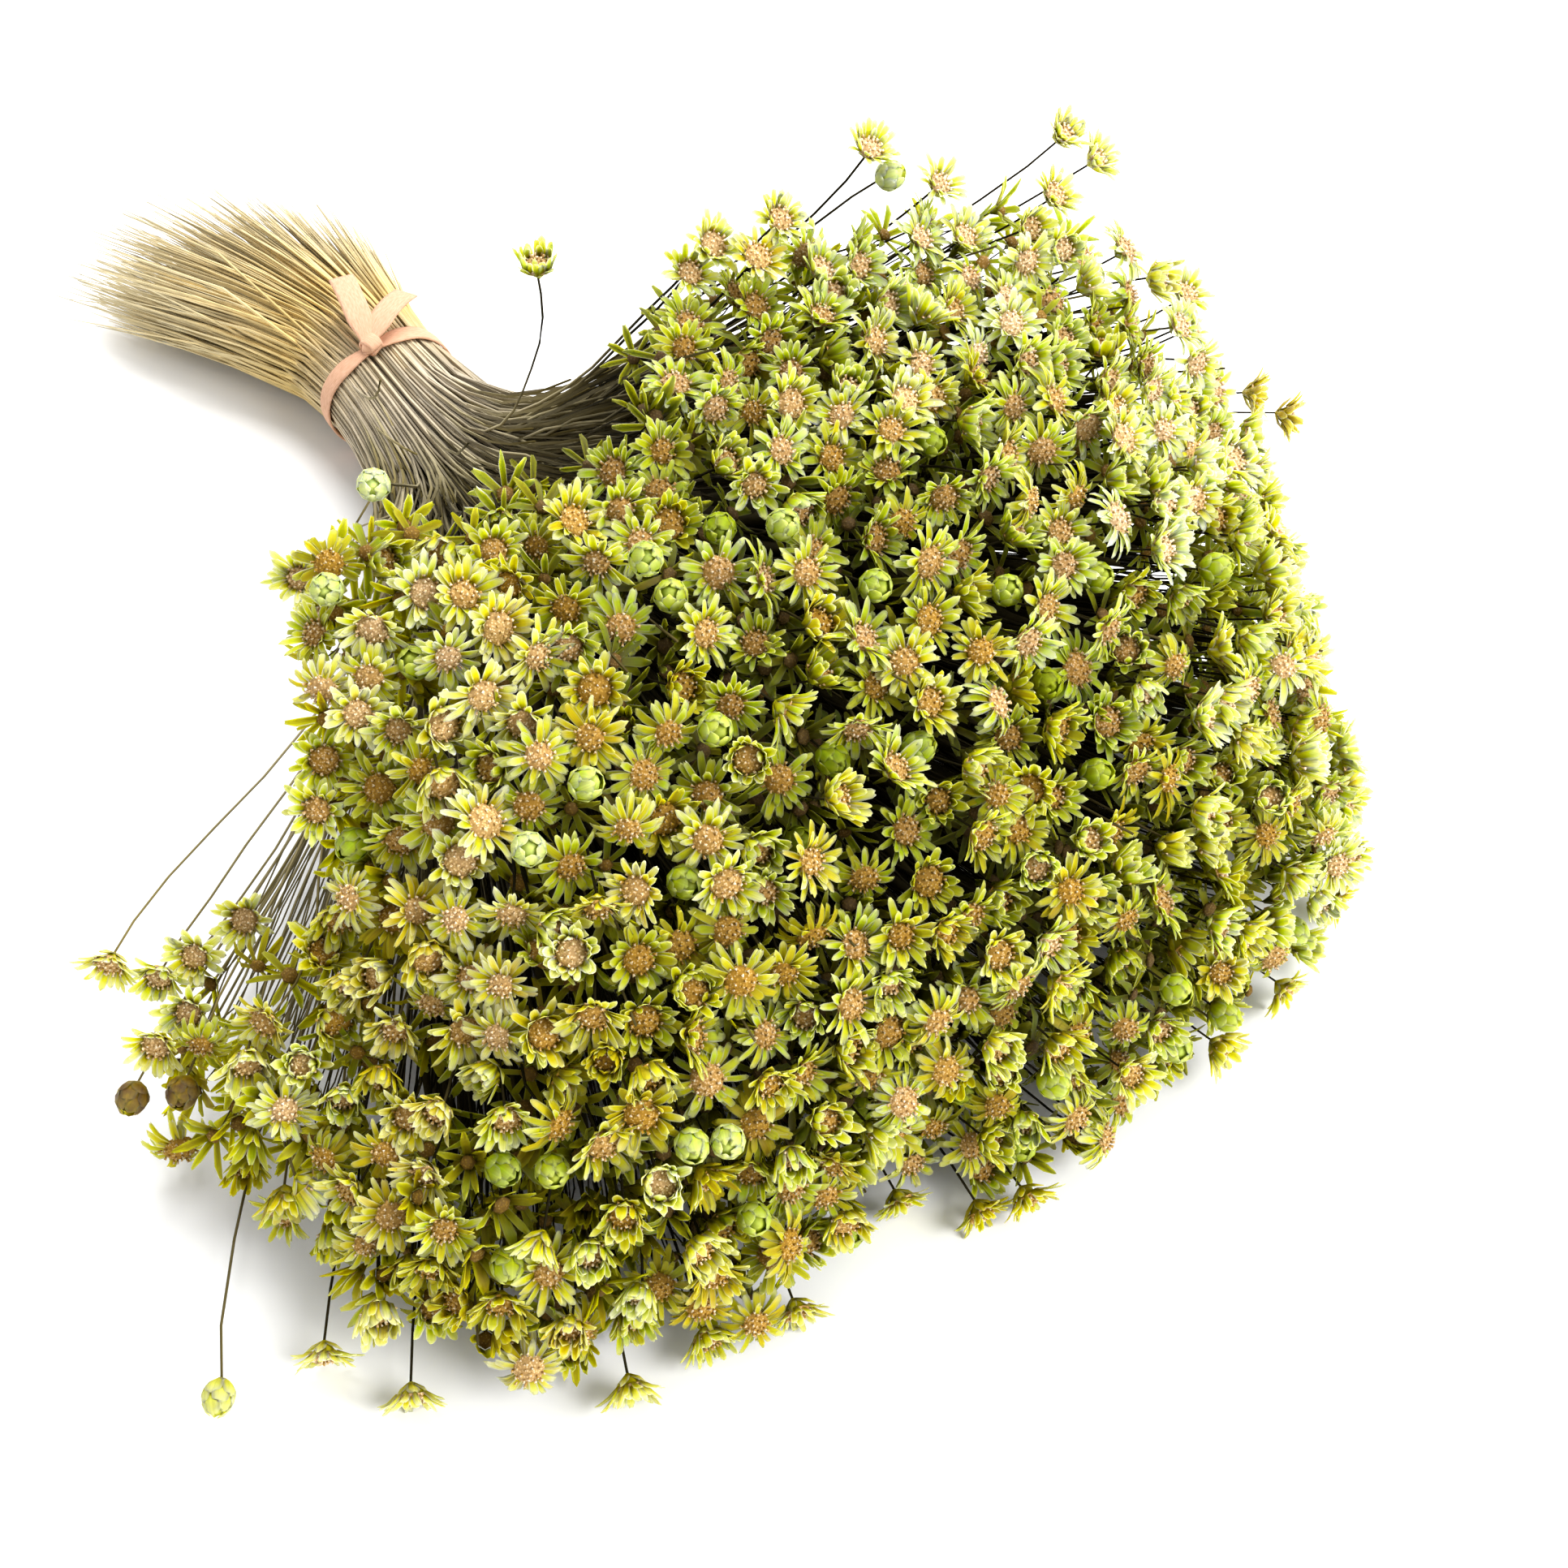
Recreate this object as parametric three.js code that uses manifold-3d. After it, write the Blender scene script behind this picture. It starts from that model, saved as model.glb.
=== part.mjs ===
// A tied bunch of dried rice flower, lying down: small papery star blooms on thin wiry stems.
// Millimetres, +X from the cut ends to the blooms, +Z up, the surface it lies on at z = 0.
import * as THREE from 'three';
import { mergeVertices } from 'three/addons/utils/BufferGeometryUtils.js';
import Module from 'manifold-3d';

const wasm = await Module();
wasm.setup();

// The band of the tie. Its outside is flat underneath, where it rests.
const band = { width: 4.2, thickness: 0.8, gap: 0.3, flatDepth: 0.15, segments: 20 };
const knot = { length: 7, width: 6.4, height: 3.4, ahead: 1.5, turn: 78, out: 1, lift: 1.19 };
const freeEndLift = 0.4;
const freeEnds = [
  { length: 17, width: 5.2, thickness: 0.7, yaw: 172, rise: 16 },
  { length: 14.5, width: 5.2, thickness: 0.7, yaw: 124, rise: 10 },
];

// The oval that the stems fill at the tie, and its middle.
const bundleY = 13;
const bundleZ = 12;
const waist = 3;
const tieX = -66;
const tieY = -2;
const tieZ = bundleZ + band.gap + band.thickness - band.flatDepth;

// The fan of stems in front of the tie: degrees of pitch and yaw, and millimetres of reach from it.
const bendLength = 28;
const pitch = { floor: 1.2, top: 32, riseRight: 8, fallFarRight: 10 };
const yaw = { side: 39, narrowLeft: 13, widenRight: 7 };
const longest = { front: 209, top: 138, fallLeft: 40, fallRight: 34, topDip: 20, topRight: 28 };
const notch = { depth: 12, u: -0.1, width: 0.09 };

// The fan of cut ends behind the tie, which swings to one side.
const cutReach = 80;
const cutSpread = 0.44;
const cutSwing = 0.28;
const cutRise = -0.05;
const cutLength = { least: 0.68, sideFall: 0.3, rightFall: 0.1 };

// The straws that stand for a strand's cut ends: two columns of them, whose feet keep to this share
// of the strand's rear end.
const cutsPerStrand = 4;
const cutColumns = { apart: 1.6, sway: 0.6 };
const cutRadius = 0.46;
const cutShare = 0.7;

// Groups of stems, each one closed body, in columns across the tie and rows up it.
const columns = 6;
const rows = 4;
const strandGap = 0.3;
const strandEnd = 42;
const strandMiddle = 20;
const strandBendLength = 80;
const strandBack = 18;
const rootShare = 0.82;

// Stems and blooms.
const stemRadius = 0.36;
const stemSides = 3;
const bloomGap = 5.9;
const deepGap = 6.6;
const headToStem = 1.9;
const stemToStem = 0.75;
const outerDepth = 6;
const deepFrom = 10;
const deepTo = 20;
const mostOuter = 505;
const mostDeep = 60;
const outerTries = 30000;
const deepTries = 5000;
const lowestBloom = 4.2;
const budShare = 0.07;
const clearance = 0.2;
const seed = 7;

// Heads, a little larger than life because they have few petals. The rim's points go by turns to a
// petal's tip and to the dip beside it. Each has its share of the radius and its rise above the
// head's middle.
const open = { radius: 5.8, dipShare: 0.64, tipRise: 0.7, dipRise: -0.2, depth: 2.2, top: 1.1 };
const petals = { stray: 5, mass: 3 };
const bud = { radius: 2.7, sides: 4, depth: 2.4, top: 2.9 };
const sizes = { smaller: 0.4, openRange: 1.2, budRange: 0.5 };
const faceLift = 0.28;
const faceTilt = 0.9;

const colours = { spray: '#a9ab52', tie: '#dcb791' };

const degrees = Math.PI / 180;
const random = seededDraws(seed);
const numbersTo = (count) => Array.from({ length: count }, (_, i) => i);
const fronts = numbersTo(rows).map((row) => (
  numbersTo(columns).map((column) => frontOf(column, row))
));

// Draws from 0 to 1: each state is 1664525 times the last plus 1013904223, modulo 2 to the 32.
function seededDraws(start) {
  const modulus = 4294967296;
  let state = start;
  return () => {
    state = (state * 1664525 + 1013904223) % modulus;
    return state / modulus;
  };
}

function clamp(value, low, high) {
  return Math.min(Math.max(value, low), high);
}

// 0 below a, 1 above b, and t²(3 − 2t) between.
function ease(a, b, value) {
  const t = clamp((value - a) / (b - a), 0, 1);
  return t * t * (3 - 2 * t);
}

function directionOf(turned, raised) {
  return new THREE.Vector3(
    Math.cos(raised * degrees) * Math.cos(turned * degrees),
    Math.cos(raised * degrees) * Math.sin(turned * degrees),
    Math.sin(raised * degrees),
  );
}

// A stem's place in the bunch is (u, v), each from −1 to 1: u across, v from the floor to the top.
// Yaw grows with u and pitch with v. The left side narrows above the floor, the right side widens,
// and the stems rise most right of the middle.
function heading(u, v) {
  const w = (v + 1) / 2;
  const left = yaw.side - yaw.narrowLeft * ease(0.15, 0.45, w);
  const right = yaw.side + yaw.widenRight * ease(0.3, 0.9, w);
  const top = pitch.top + pitch.riseRight * ease(-0.15, 0.3, u)
    - pitch.fallFarRight * ease(0.75, 1.05, u);
  return directionOf((u < 0 ? left : right) * u, pitch.floor + (top - pitch.floor) * w);
}

// The length of the longest stem at (u, v): long in front, short on top, with a notch low in front.
function reach(u, v) {
  const w = (v + 1) / 2;
  const left = longest.fallLeft * ease(0.5, 1.05, -u);
  const right = longest.fallRight * ease(0.55, 1.1, u);
  const cleft = notch.depth * Math.exp(-(((u - notch.u) / notch.width) ** 2))
    * (1 - ease(0.08, 0.3, w));
  const low = longest.front - left - right - cleft;
  const high = longest.top - longest.topDip * ease(-0.1, 0.3, u)
    + longest.topRight * ease(0.7, 1.0, u);
  return low + (high - low) * w ** 1.7;
}

// The square of (u, v) mapped to the oval at the tie.
function tiePoint(u, v) {
  return new THREE.Vector3(
    tieX,
    tieY + bundleY * u * Math.sqrt(1 - (v * v) / 2),
    tieZ + bundleZ * v * Math.sqrt(1 - (u * u) / 2),
  );
}

// The point s mm along a stem. It passes the waist along X and bends to its heading over the given
// length. Behind the waist, s below 0, it spreads from the axis to both sides, and its top falls.
function stemPoint(u, v, s, bend = bendLength) {
  const point = tiePoint(u, v);
  const past = Math.max(0, Math.abs(s) - waist);
  const bent = (past * past) / (past + bend);
  if (s >= 0) {
    point.x += s - bent;
    return point.addScaledVector(heading(u, v), bent);
  }
  point.x += s;
  point.y += cutSpread * bent * u - cutSwing * bent;
  point.z += cutRise * bent * (v + 1);
  return point;
}

// The packed stems of a strand bend later.
function packedPoint(u, v, s) {
  return stemPoint(u, v, s, strandBendLength);
}

// The way from a place on a strand's front to the mass of heads.
function onward(u, v) {
  return stemPoint(u, v, reach(u, v)).sub(packedPoint(u, v, strandEnd)).normalize();
}

// The point of the segment a-b that is nearest to p.
function nearestOn(a, b, p) {
  const along = b.clone().sub(a);
  const t = clamp(p.clone().sub(a).dot(along) / along.lengthSq(), 0, 1);
  return a.clone().addScaledVector(along, t);
}

// The distance between the segments a-b and c-d: the nearest places on their two lines, each kept
// within its segment.
function distanceBetween(a, b, c, d) {
  const first = b.clone().sub(a);
  const second = d.clone().sub(c);
  const apart = a.clone().sub(c);
  const cross = first.dot(second);
  const spare = first.lengthSq() * second.lengthSq() - cross * cross;
  const lead = cross * second.dot(apart) - first.dot(apart) * second.lengthSq();
  let s = spare > 1e-9 ? clamp(lead / spare, 0, 1) : 0;
  const t = clamp((cross * s + second.dot(apart)) / second.lengthSq(), 0, 1);
  s = clamp((cross * t - first.dot(apart)) / first.lengthSq(), 0, 1);
  return a.clone().addScaledVector(first, s).distanceTo(c.clone().addScaledVector(second, t));
}

// The single blooms and buds that stand out of the mass or lie on the floor before it. Each has its
// yaw, pitch and length from the middle of the tie, its place (u, v), and the lift of its face above
// its stem.
const strays = [
  { kind: 'open', yaw: 0.7, pitch: 44.7, length: 107, u: 0.0, v: 0.97, lift: 42 },
  { kind: 'bud', yaw: -31.7, pitch: -2.2, length: 204, u: -0.8, v: -0.97, lift: 0 },
  { kind: 'open', yaw: 32.5, pitch: 39, length: 130, u: 0.72, v: 0.97, lift: 25 },
  { kind: 'bud', yaw: 33.2, pitch: 36.5, length: 129, u: 0.7, v: 0.8, lift: 0 },
  { kind: 'open', yaw: 22.8, pitch: 39, length: 122, u: 0.5, v: 0.95, lift: 15 },
  { kind: 'open', yaw: 44.6, pitch: 30.8, length: 147, u: 0.97, v: 0.97, lift: 25 },
  { kind: 'open', yaw: 44.9, pitch: 28.3, length: 150, u: 0.97, v: 0.84, lift: 15 },
  { kind: 'open', yaw: 39.7, pitch: 29.2, length: 146, u: 0.87, v: 0.88, lift: 20 },
  { kind: 'open', yaw: 42.4, pitch: 19.4, length: 159, u: 0.96, v: 0.2, lift: 40 },
  { kind: 'open', yaw: 40.4, pitch: 13.4, length: 169, u: 0.96, v: -0.2, lift: -5 },
  { kind: 'open', yaw: 40.8, pitch: 11.6, length: 174, u: 0.97, v: -0.35, lift: -15 },
  { kind: 'open', yaw: -38.8, pitch: 7.1, length: 154, u: -0.96, v: -0.62, lift: -10 },
  { kind: 'bud', yaw: -36.8, pitch: 3.1, length: 168, u: -0.93, v: -0.85, lift: 0 },
  { kind: 'bud', yaw: -34.2, pitch: 3.8, length: 168, u: -0.85, v: -0.83, lift: 0 },
  { kind: 'bud', yaw: -20.5, pitch: 32.9, length: 134, u: -0.78, v: 0.96, lift: 0 },
  { kind: 'bud', yaw: -7, pitch: 28.4, length: 162, u: -0.27, v: 0.74, lift: 20 },
  { kind: 'open', yaw: -27.8, pitch: -2.3, length: 199, u: -0.71, v: -0.97, lift: -20 },
  { kind: 'open', yaw: -24.4, pitch: -2.4, length: 206, u: -0.62, v: -0.97, lift: -20 },
  { kind: 'open', yaw: -16.3, pitch: -2.2, length: 211, u: -0.42, v: -0.97, lift: -15 },
  { kind: 'open', yaw: -9.4, pitch: -2.2, length: 208, u: -0.24, v: -0.97, lift: -15 },
  { kind: 'open', yaw: -3.5, pitch: -2.3, length: 199, u: -0.1, v: -0.97, lift: -20 },
  { kind: 'open', yaw: -0.8, pitch: -2.4, length: 206, u: -0.02, v: -0.97, lift: -20 },
  { kind: 'open', yaw: 1.1, pitch: -2.2, length: 208, u: 0.06, v: -0.97, lift: -15 },
  { kind: 'open', yaw: 16.5, pitch: -1.9, length: 209, u: 0.42, v: -0.97, lift: -15 },
  { kind: 'open', yaw: 22.2, pitch: -1.9, length: 207, u: 0.57, v: -0.97, lift: -10 },
  { kind: 'open', yaw: -36.7, pitch: 5.5, length: 152, u: -0.97, v: -0.7, lift: 5 },
  { kind: 'open', yaw: -34.9, pitch: 6.1, length: 149, u: -0.9, v: -0.66, lift: 30 },
  { kind: 'open', yaw: -32.3, pitch: 7.1, length: 144, u: -0.84, v: -0.58, lift: 35 },
  { kind: 'open', yaw: -35.8, pitch: 4.9, length: 163, u: -0.93, v: -0.76, lift: 15 },
  { kind: 'open', yaw: -34.5, pitch: 5.4, length: 158, u: -0.84, v: -0.72, lift: 30 },
  { kind: 'open', yaw: -28.5, pitch: 24.7, length: 112, u: -0.97, v: 0.55, lift: 20 },
  { kind: 'open', yaw: -25.9, pitch: 23, length: 118, u: -0.9, v: 0.42, lift: 20 },
  { kind: 'open', yaw: 16.3, pitch: 40.1, length: 118, u: 0.35, v: 0.97, lift: 10 },
  { kind: 'open', yaw: 14.1, pitch: 39.1, length: 114, u: 0.28, v: 0.9, lift: 15 },
  { kind: 'open', yaw: 18.3, pitch: 37.9, length: 122, u: 0.42, v: 0.87, lift: 20 },
  { kind: 'open', yaw: 35.3, pitch: 34.1, length: 134, u: 0.8, v: 0.95, lift: 20 },
  { kind: 'open', yaw: 33.4, pitch: 30.8, length: 136, u: 0.78, v: 0.76, lift: 25 },
];

// The cell that a place lies in along one side of the bunch, and how far it is from the cell's
// middle, from −1 to 1.
function inCell(value, count) {
  const cell = clamp(Math.floor(((value + 1) / 2) * count), 0, count - 1);
  return { cell, local: (value + 1) * count - 2 * cell - 1 };
}

// The middle of a strand, and its four corners at s mm along it, half the gap inside its cell.
function middleOf(column, row) {
  return [(2 * column + 1) / columns - 1, (2 * row + 1) / rows - 1];
}

function cornersOf(column, row) {
  const [u, v] = middleOf(column, row);
  const inset = strandGap / 2 / bundleZ;
  const du = 1 / columns - inset;
  const dv = 1 / rows - inset;
  return [[u - du, v - dv], [u + du, v - dv], [u + du, v + dv], [u - du, v + dv]];
}

// Slides a point along a line until it lies in the plane.
function slidTo(point, along, plane) {
  const distance = plane.distanceToPoint(point) / plane.normal.dot(along);
  return point.clone().addScaledVector(along, -distance);
}

// A strand's two flat ends: the front is square to its middle stem's way on, the rear square to X.
function frontOf(column, row) {
  const [u, v] = middleOf(column, row);
  const plane = new THREE.Plane().setFromNormalAndCoplanarPoint(
    onward(u, v),
    packedPoint(u, v, strandEnd),
  );
  const corners = cornersOf(column, row).map(([a, b]) => (
    slidTo(packedPoint(a, b, strandEnd), onward(a, b), plane)
  ));
  return { plane, corners };
}

function rearOf(column, row) {
  const plane = new THREE.Plane(new THREE.Vector3(-1, 0, 0), tieX - strandBack);
  return { plane, corners: cornersOf(column, row).map(([a, b]) => stemPoint(a, b, -strandBack)) };
}

// A place on a flat end: the blend of its corners, from −1 to 1 across and up, kept off its edges.
function rootOn(end, across, up) {
  const a = across * rootShare;
  const b = up * rootShare;
  const shares = [(1 - a) * (1 - b), (1 + a) * (1 - b), (1 + a) * (1 + b), (1 - a) * (1 + b)];
  const root = new THREE.Vector3();
  shares.forEach((share, i) => root.addScaledVector(end.corners[i], share / 4));
  return root;
}

// A stem and its head: it runs from its root on the strand to the head's neck.
function stemWith(place, head) {
  const across = inCell(place.u, columns);
  const up = inCell(place.v, rows);
  const root = rootOn(fronts[up.cell][across.cell], across.local, up.local);
  const depth = head.kind === 'bud' ? bud.depth : open.depth;
  const neck = head.end.clone().addScaledVector(head.facing, -depth);
  return { column: across.cell, row: up.cell, root, neck, ...head };
}

// A stem of the mass, from its place, its length and four draws. Its head looks along the stem and
// a little up, each tilted its own way.
function massStem(u, v, length, draws) {
  const end = stemPoint(u, v, length);
  const tilt = new THREE.Vector3(draws[0] - 0.5, draws[1] - 0.5, draws[2] - 0.5);
  const facing = end.clone().sub(stemPoint(u, v, length - 1));
  facing.z += faceLift;
  facing.addScaledVector(tilt, faceTilt).normalize();
  const kind = draws[3] < budShare ? 'bud' : 'open';
  const radius = kind === 'bud'
    ? bud.radius - sizes.smaller + sizes.budRange * draws[2]
    : open.radius - sizes.smaller + sizes.openRange * draws[1];
  return stemWith({ u, v }, { end, facing, kind, radius, petals: petals.mass });
}

function strayStem(stray) {
  const end = tiePoint(0, 0).addScaledVector(directionOf(stray.yaw, stray.pitch), stray.length);
  const facing = directionOf(stray.yaw, stray.pitch + stray.lift);
  const { radius } = stray.kind === 'bud' ? bud : open;
  return stemWith(stray, { end, facing, kind: stray.kind, radius, petals: petals.stray });
}

// True where a new stem and its head stay clear of one that is already placed.
function clears(stem, other, gap) {
  if (stem.end.distanceTo(other.end) < gap) return false;
  if (nearestOn(stem.root, stem.neck, other.end).distanceTo(other.end) < headToStem) return false;
  if (nearestOn(other.root, other.neck, stem.end).distanceTo(stem.end) < headToStem) return false;
  return distanceBetween(stem.root, stem.neck, other.root, other.neck) >= stemToStem;
}

// Fills the fan with stems at random places, keeping each that clears all the others: first the
// outer blooms, near the longest reach, then the deeper ones that show between them.
function placeStems() {
  const placed = strays.map(strayStem);
  let outerPlaced = 0;
  let deepPlaced = 0;
  for (let i = 0; i < outerTries + deepTries; i += 1) {
    const u = 2 * random() - 1;
    const v = 2 * random() - 1;
    const recess = random();
    const draws = [random(), random(), random(), random()];
    const deep = i >= outerTries;
    if (deep ? deepPlaced >= mostDeep : outerPlaced >= mostOuter) continue;
    const depth = deep ? deepFrom + (deepTo - deepFrom) * recess : outerDepth * recess;
    const stem = massStem(u, v, reach(u, v) - depth, draws);
    const gap = deep ? deepGap : bloomGap;
    if (stem.end.z < lowestBloom) continue;
    if (!placed.every((other) => clears(stem, other, gap))) continue;
    deepPlaced += deep ? 1 : 0;
    outerPlaced += deep ? 0 : 1;
    placed.push(stem);
  }
  return placed;
}

// Points round an axis: each entry of radii and rises gives one, by equal turns.
function ringPoints(centre, axis, radii, rises, turn) {
  const helper = Math.abs(axis.z) < 0.9 ? new THREE.Vector3(0, 0, 1) : new THREE.Vector3(1, 0, 0);
  const side = helper.cross(axis).normalize();
  const over = axis.clone().cross(side);
  return radii.map((radius, i) => {
    const angle = turn + (2 * Math.PI * i) / radii.length;
    return centre.clone()
      .addScaledVector(side, radius * Math.cos(angle))
      .addScaledVector(over, radius * Math.sin(angle))
      .addScaledVector(axis, rises[i]);
  });
}

// A closed mesh under construction. Rings are lists of point numbers, anticlockwise seen from the
// end that they are built towards.
class Shell {
  points = [];

  triangles = [];

  ring(points) {
    const first = this.points.length;
    this.points.push(...points);
    return points.map((_, i) => first + i);
  }

  fan(ring, point) {
    const tip = this.ring([point])[0];
    ring.forEach((corner, i) => {
      this.triangles.push([corner, ring[(i + 1) % ring.length], tip]);
    });
  }

  // Joins a lower ring to an upper one that may have more points, by equal turns.
  bridge(lower, upper) {
    let i = 0;
    let j = 0;
    while (i < lower.length || j < upper.length) {
      const a = lower[i % lower.length];
      const b = upper[j % upper.length];
      const upperNext = (j + 0.5) / upper.length < (i + 0.5) / lower.length;
      if (i === lower.length || (upperNext && j < upper.length)) {
        this.triangles.push([a, upper[(j + 1) % upper.length], b]);
        j += 1;
      } else {
        this.triangles.push([a, lower[(i + 1) % lower.length], b]);
        i += 1;
      }
    }
  }

  // Four sides between two stations. Opposite sides are split along the same diagonal, so that a
  // side lies alike on both of the strands that share it.
  sidesAlike(from, to) {
    for (let k = 0; k < 4; k += 1) {
      const next = (k + 1) % 4;
      const split = k < 2 ? to[next] : to[k];
      const start = k < 2 ? from[k] : from[next];
      this.triangles.push([from[k], from[next], split], [start, to[next], to[k]]);
    }
  }

  // A flat end, square to the normal, with a hole for each ring that stands on it.
  endWithHoles(outline, holes, normal) {
    const side = new THREE.Vector3(0, 1, 0).cross(normal).normalize();
    const over = normal.clone().cross(side);
    const flat = (number) => {
      const point = this.points[number];
      return new THREE.Vector2(point.dot(side), point.dot(over));
    };
    const corners = [...outline, ...holes.flat()];
    const faces = THREE.ShapeUtils.triangulateShape(
      outline.map(flat),
      holes.map((hole) => hole.map(flat)),
    );
    faces.forEach((face) => {
      const [a, b, c] = face.map((corner) => flat(corners[corner]));
      const turnsLeft = b.clone().sub(a).cross(c.clone().sub(a)) > 0;
      const order = turnsLeft ? face : [face[0], face[2], face[1]];
      this.triangles.push(order.map((corner) => corners[corner]));
    });
  }

  geometry() {
    const geometry = new THREE.BufferGeometry().setFromPoints(this.points);
    return geometry.setIndex(this.triangles.flat());
  }
}

// The planes that a head keeps behind: one towards each near head and each near stem, and the floor.
function limitsOf(stem, placed) {
  const limits = [{ normal: new THREE.Vector3(0, 0, -1), offset: stem.end.z }];
  placed.forEach((other) => {
    if (other === stem) return;
    const between = other.end.distanceTo(stem.end);
    if (between < 2 * (stem.radius + other.radius)) {
      const share = stem.radius / (stem.radius + other.radius);
      const normal = other.end.clone().sub(stem.end).divideScalar(between);
      limits.push({ normal, offset: between * share - clearance });
    }
    const near = nearestOn(other.root, other.neck, stem.end);
    const distance = near.distanceTo(stem.end);
    if (distance < stem.radius + stemRadius + clearance) {
      const normal = near.sub(stem.end).divideScalar(distance);
      limits.push({ normal, offset: distance - stemRadius - clearance });
    }
  });
  return limits;
}

// Draws each point in towards the centre until it is behind every plane.
function heldClear(points, centre, limits) {
  return points.map((point) => {
    const arm = point.clone().sub(centre);
    let share = 1;
    limits.forEach(({ normal, offset }) => {
      const past = arm.dot(normal);
      if (past > offset) share = Math.min(share, offset / past);
    });
    return centre.clone().addScaledVector(arm, share);
  });
}

// Adds a stem and its head to its strand: a pointed egg for a bud, or petals round a raised disc over
// a cone that runs into the stem. Returns the ring where the stem stands on the strand's front.
function addStem(shell, stem, placed, front) {
  const isBud = stem.kind === 'bud';
  const { top } = isBud ? bud : open;
  const count = isBud ? bud.sides : 2 * stem.petals;
  const isDip = (i) => !isBud && i % 2 === 1;
  const numbers = numbersTo(count);
  const radii = numbers.map((i) => stem.radius * (isDip(i) ? open.dipShare : 1));
  const petalRise = (i) => (isDip(i) ? open.dipRise : open.tipRise);
  const rises = numbers.map((i) => (isBud ? 0 : petalRise(i)));
  const turn = stem.end.x;
  const thin = Array(stemSides).fill(stemRadius);
  const level = Array(stemSides).fill(0);
  const limits = limitsOf(stem, placed);
  const held = (points) => heldClear(points, stem.end, limits);

  const neckPoints = held(ringPoints(stem.neck, stem.facing, thin, level, turn));
  const stemLine = stem.root.clone().sub(stem.neck).normalize();
  const foot = shell.ring(neckPoints.map((point) => slidTo(point, stemLine, front)));
  const neck = shell.ring(neckPoints);
  const rim = shell.ring(held(ringPoints(stem.end, stem.facing, radii, rises, turn)));
  const apex = stem.end.clone().addScaledVector(stem.facing, top);
  shell.bridge(foot, neck);
  shell.bridge(neck, rim);
  shell.fan(rim, held([apex])[0]);
  return foot;
}

// Adds a cut end: a three-sided straw that leaves the strand behind the tie and tapers to its tip.
// The straws in the middle of the fan are the longest. Returns the ring where it stands.
function addCutEnd(shell, column, row, index, rear) {
  const across = cutColumns.apart * ((index % 2) - 0.5) + cutColumns.sway * (random() - 0.5);
  const up = (2 * index + random()) / (cutsPerStrand - 0.5) - 1;
  const [midU, midV] = middleOf(column, row);
  const u = midU + across / columns;
  const v = midV + up / rows;
  const share = cutLength.least + (1 - cutLength.least) * random();
  const fall = cutLength.sideFall * u * u + cutLength.rightFall * u;
  const tip = stemPoint(u, v, -cutReach * share * (1 - fall));
  const foot = rootOn(rear, across * cutShare, up * cutShare);
  const along = tip.clone().sub(foot).normalize();
  const corners = ringPoints(foot, along, Array(3).fill(cutRadius), [0, 0, 0], index);
  const ring = shell.ring(corners.map((point) => slidTo(point, along, rear.plane)));
  shell.fan(ring, tip);
  return ring;
}

// A spray in one closed mesh. Its strand is the packed stems of the group, from behind the tie to
// where the single stems leave it in front: each section is the group's own patch of the bunch, kept
// off its neighbours by half the gap. The stems and the cut ends stand on its two flat ends.
function spray(column, row, placed) {
  const shell = new Shell();
  const rear = rearOf(column, row);
  const front = fronts[row][column];
  const patch = (s) => cornersOf(column, row).map(([u, v]) => packedPoint(u, v, s));
  const sections = [rear.corners, patch(-waist), patch(waist), patch(strandMiddle), front.corners];
  const rings = sections.map((section) => shell.ring(section));
  for (let i = 1; i < rings.length; i += 1) shell.sidesAlike(rings[i - 1], rings[i]);
  const own = placed.filter((stem) => stem.column === column && stem.row === row);
  const feet = own.map((stem) => addStem(shell, stem, placed, front.plane));
  shell.endWithHoles(rings[rings.length - 1], feet, front.plane.normal);
  const cuts = numbersTo(cutsPerStrand).map((index) => addCutEnd(shell, column, row, index, rear));
  shell.endWithHoles(rings[0], cuts, rear.plane.normal);
  return shell.geometry();
}

function geometryOf(solid) {
  const mesh = solid.getMesh();
  const geometry = new THREE.BufferGeometry();
  geometry.setAttribute('position', new THREE.BufferAttribute(mesh.vertProperties, mesh.numProp));
  geometry.setIndex(Array.from(mesh.triVerts));
  return geometry;
}

function solidOf(geometry) {
  const bare = geometry.clone();
  bare.deleteAttribute('normal');
  bare.deleteAttribute('uv');
  const merged = mergeVertices(bare, 1e-4);
  const vertProperties = new Float32Array(merged.attributes.position.array);
  const triVerts = new Uint32Array(merged.index.array);
  return new wasm.Manifold(new wasm.Mesh({ numProp: 3, vertProperties, triVerts }));
}

function namedMesh(name, geometry, colour, roughness) {
  const material = new THREE.MeshStandardMaterial({ color: colour, roughness, metalness: 0 });
  const mesh = new THREE.Mesh(geometry, material);
  mesh.name = name;
  return mesh;
}

function sprays(placed) {
  const meshes = [];
  for (let row = 0; row < rows; row += 1) {
    for (let column = 0; column < columns; column += 1) {
      const name = `spray_row${row + 1}_col${column + 1}`;
      meshes.push(namedMesh(name, spray(column, row, placed), colours.spray, 0.75));
    }
  }
  return meshes;
}

// An oval outline round the bundle, out by the given distance.
function ovalAround(distance) {
  const outline = new THREE.Shape();
  outline.absellipse(tieY, tieZ, bundleY + distance, bundleZ + distance, 0, 2 * Math.PI);
  return outline;
}

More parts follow.
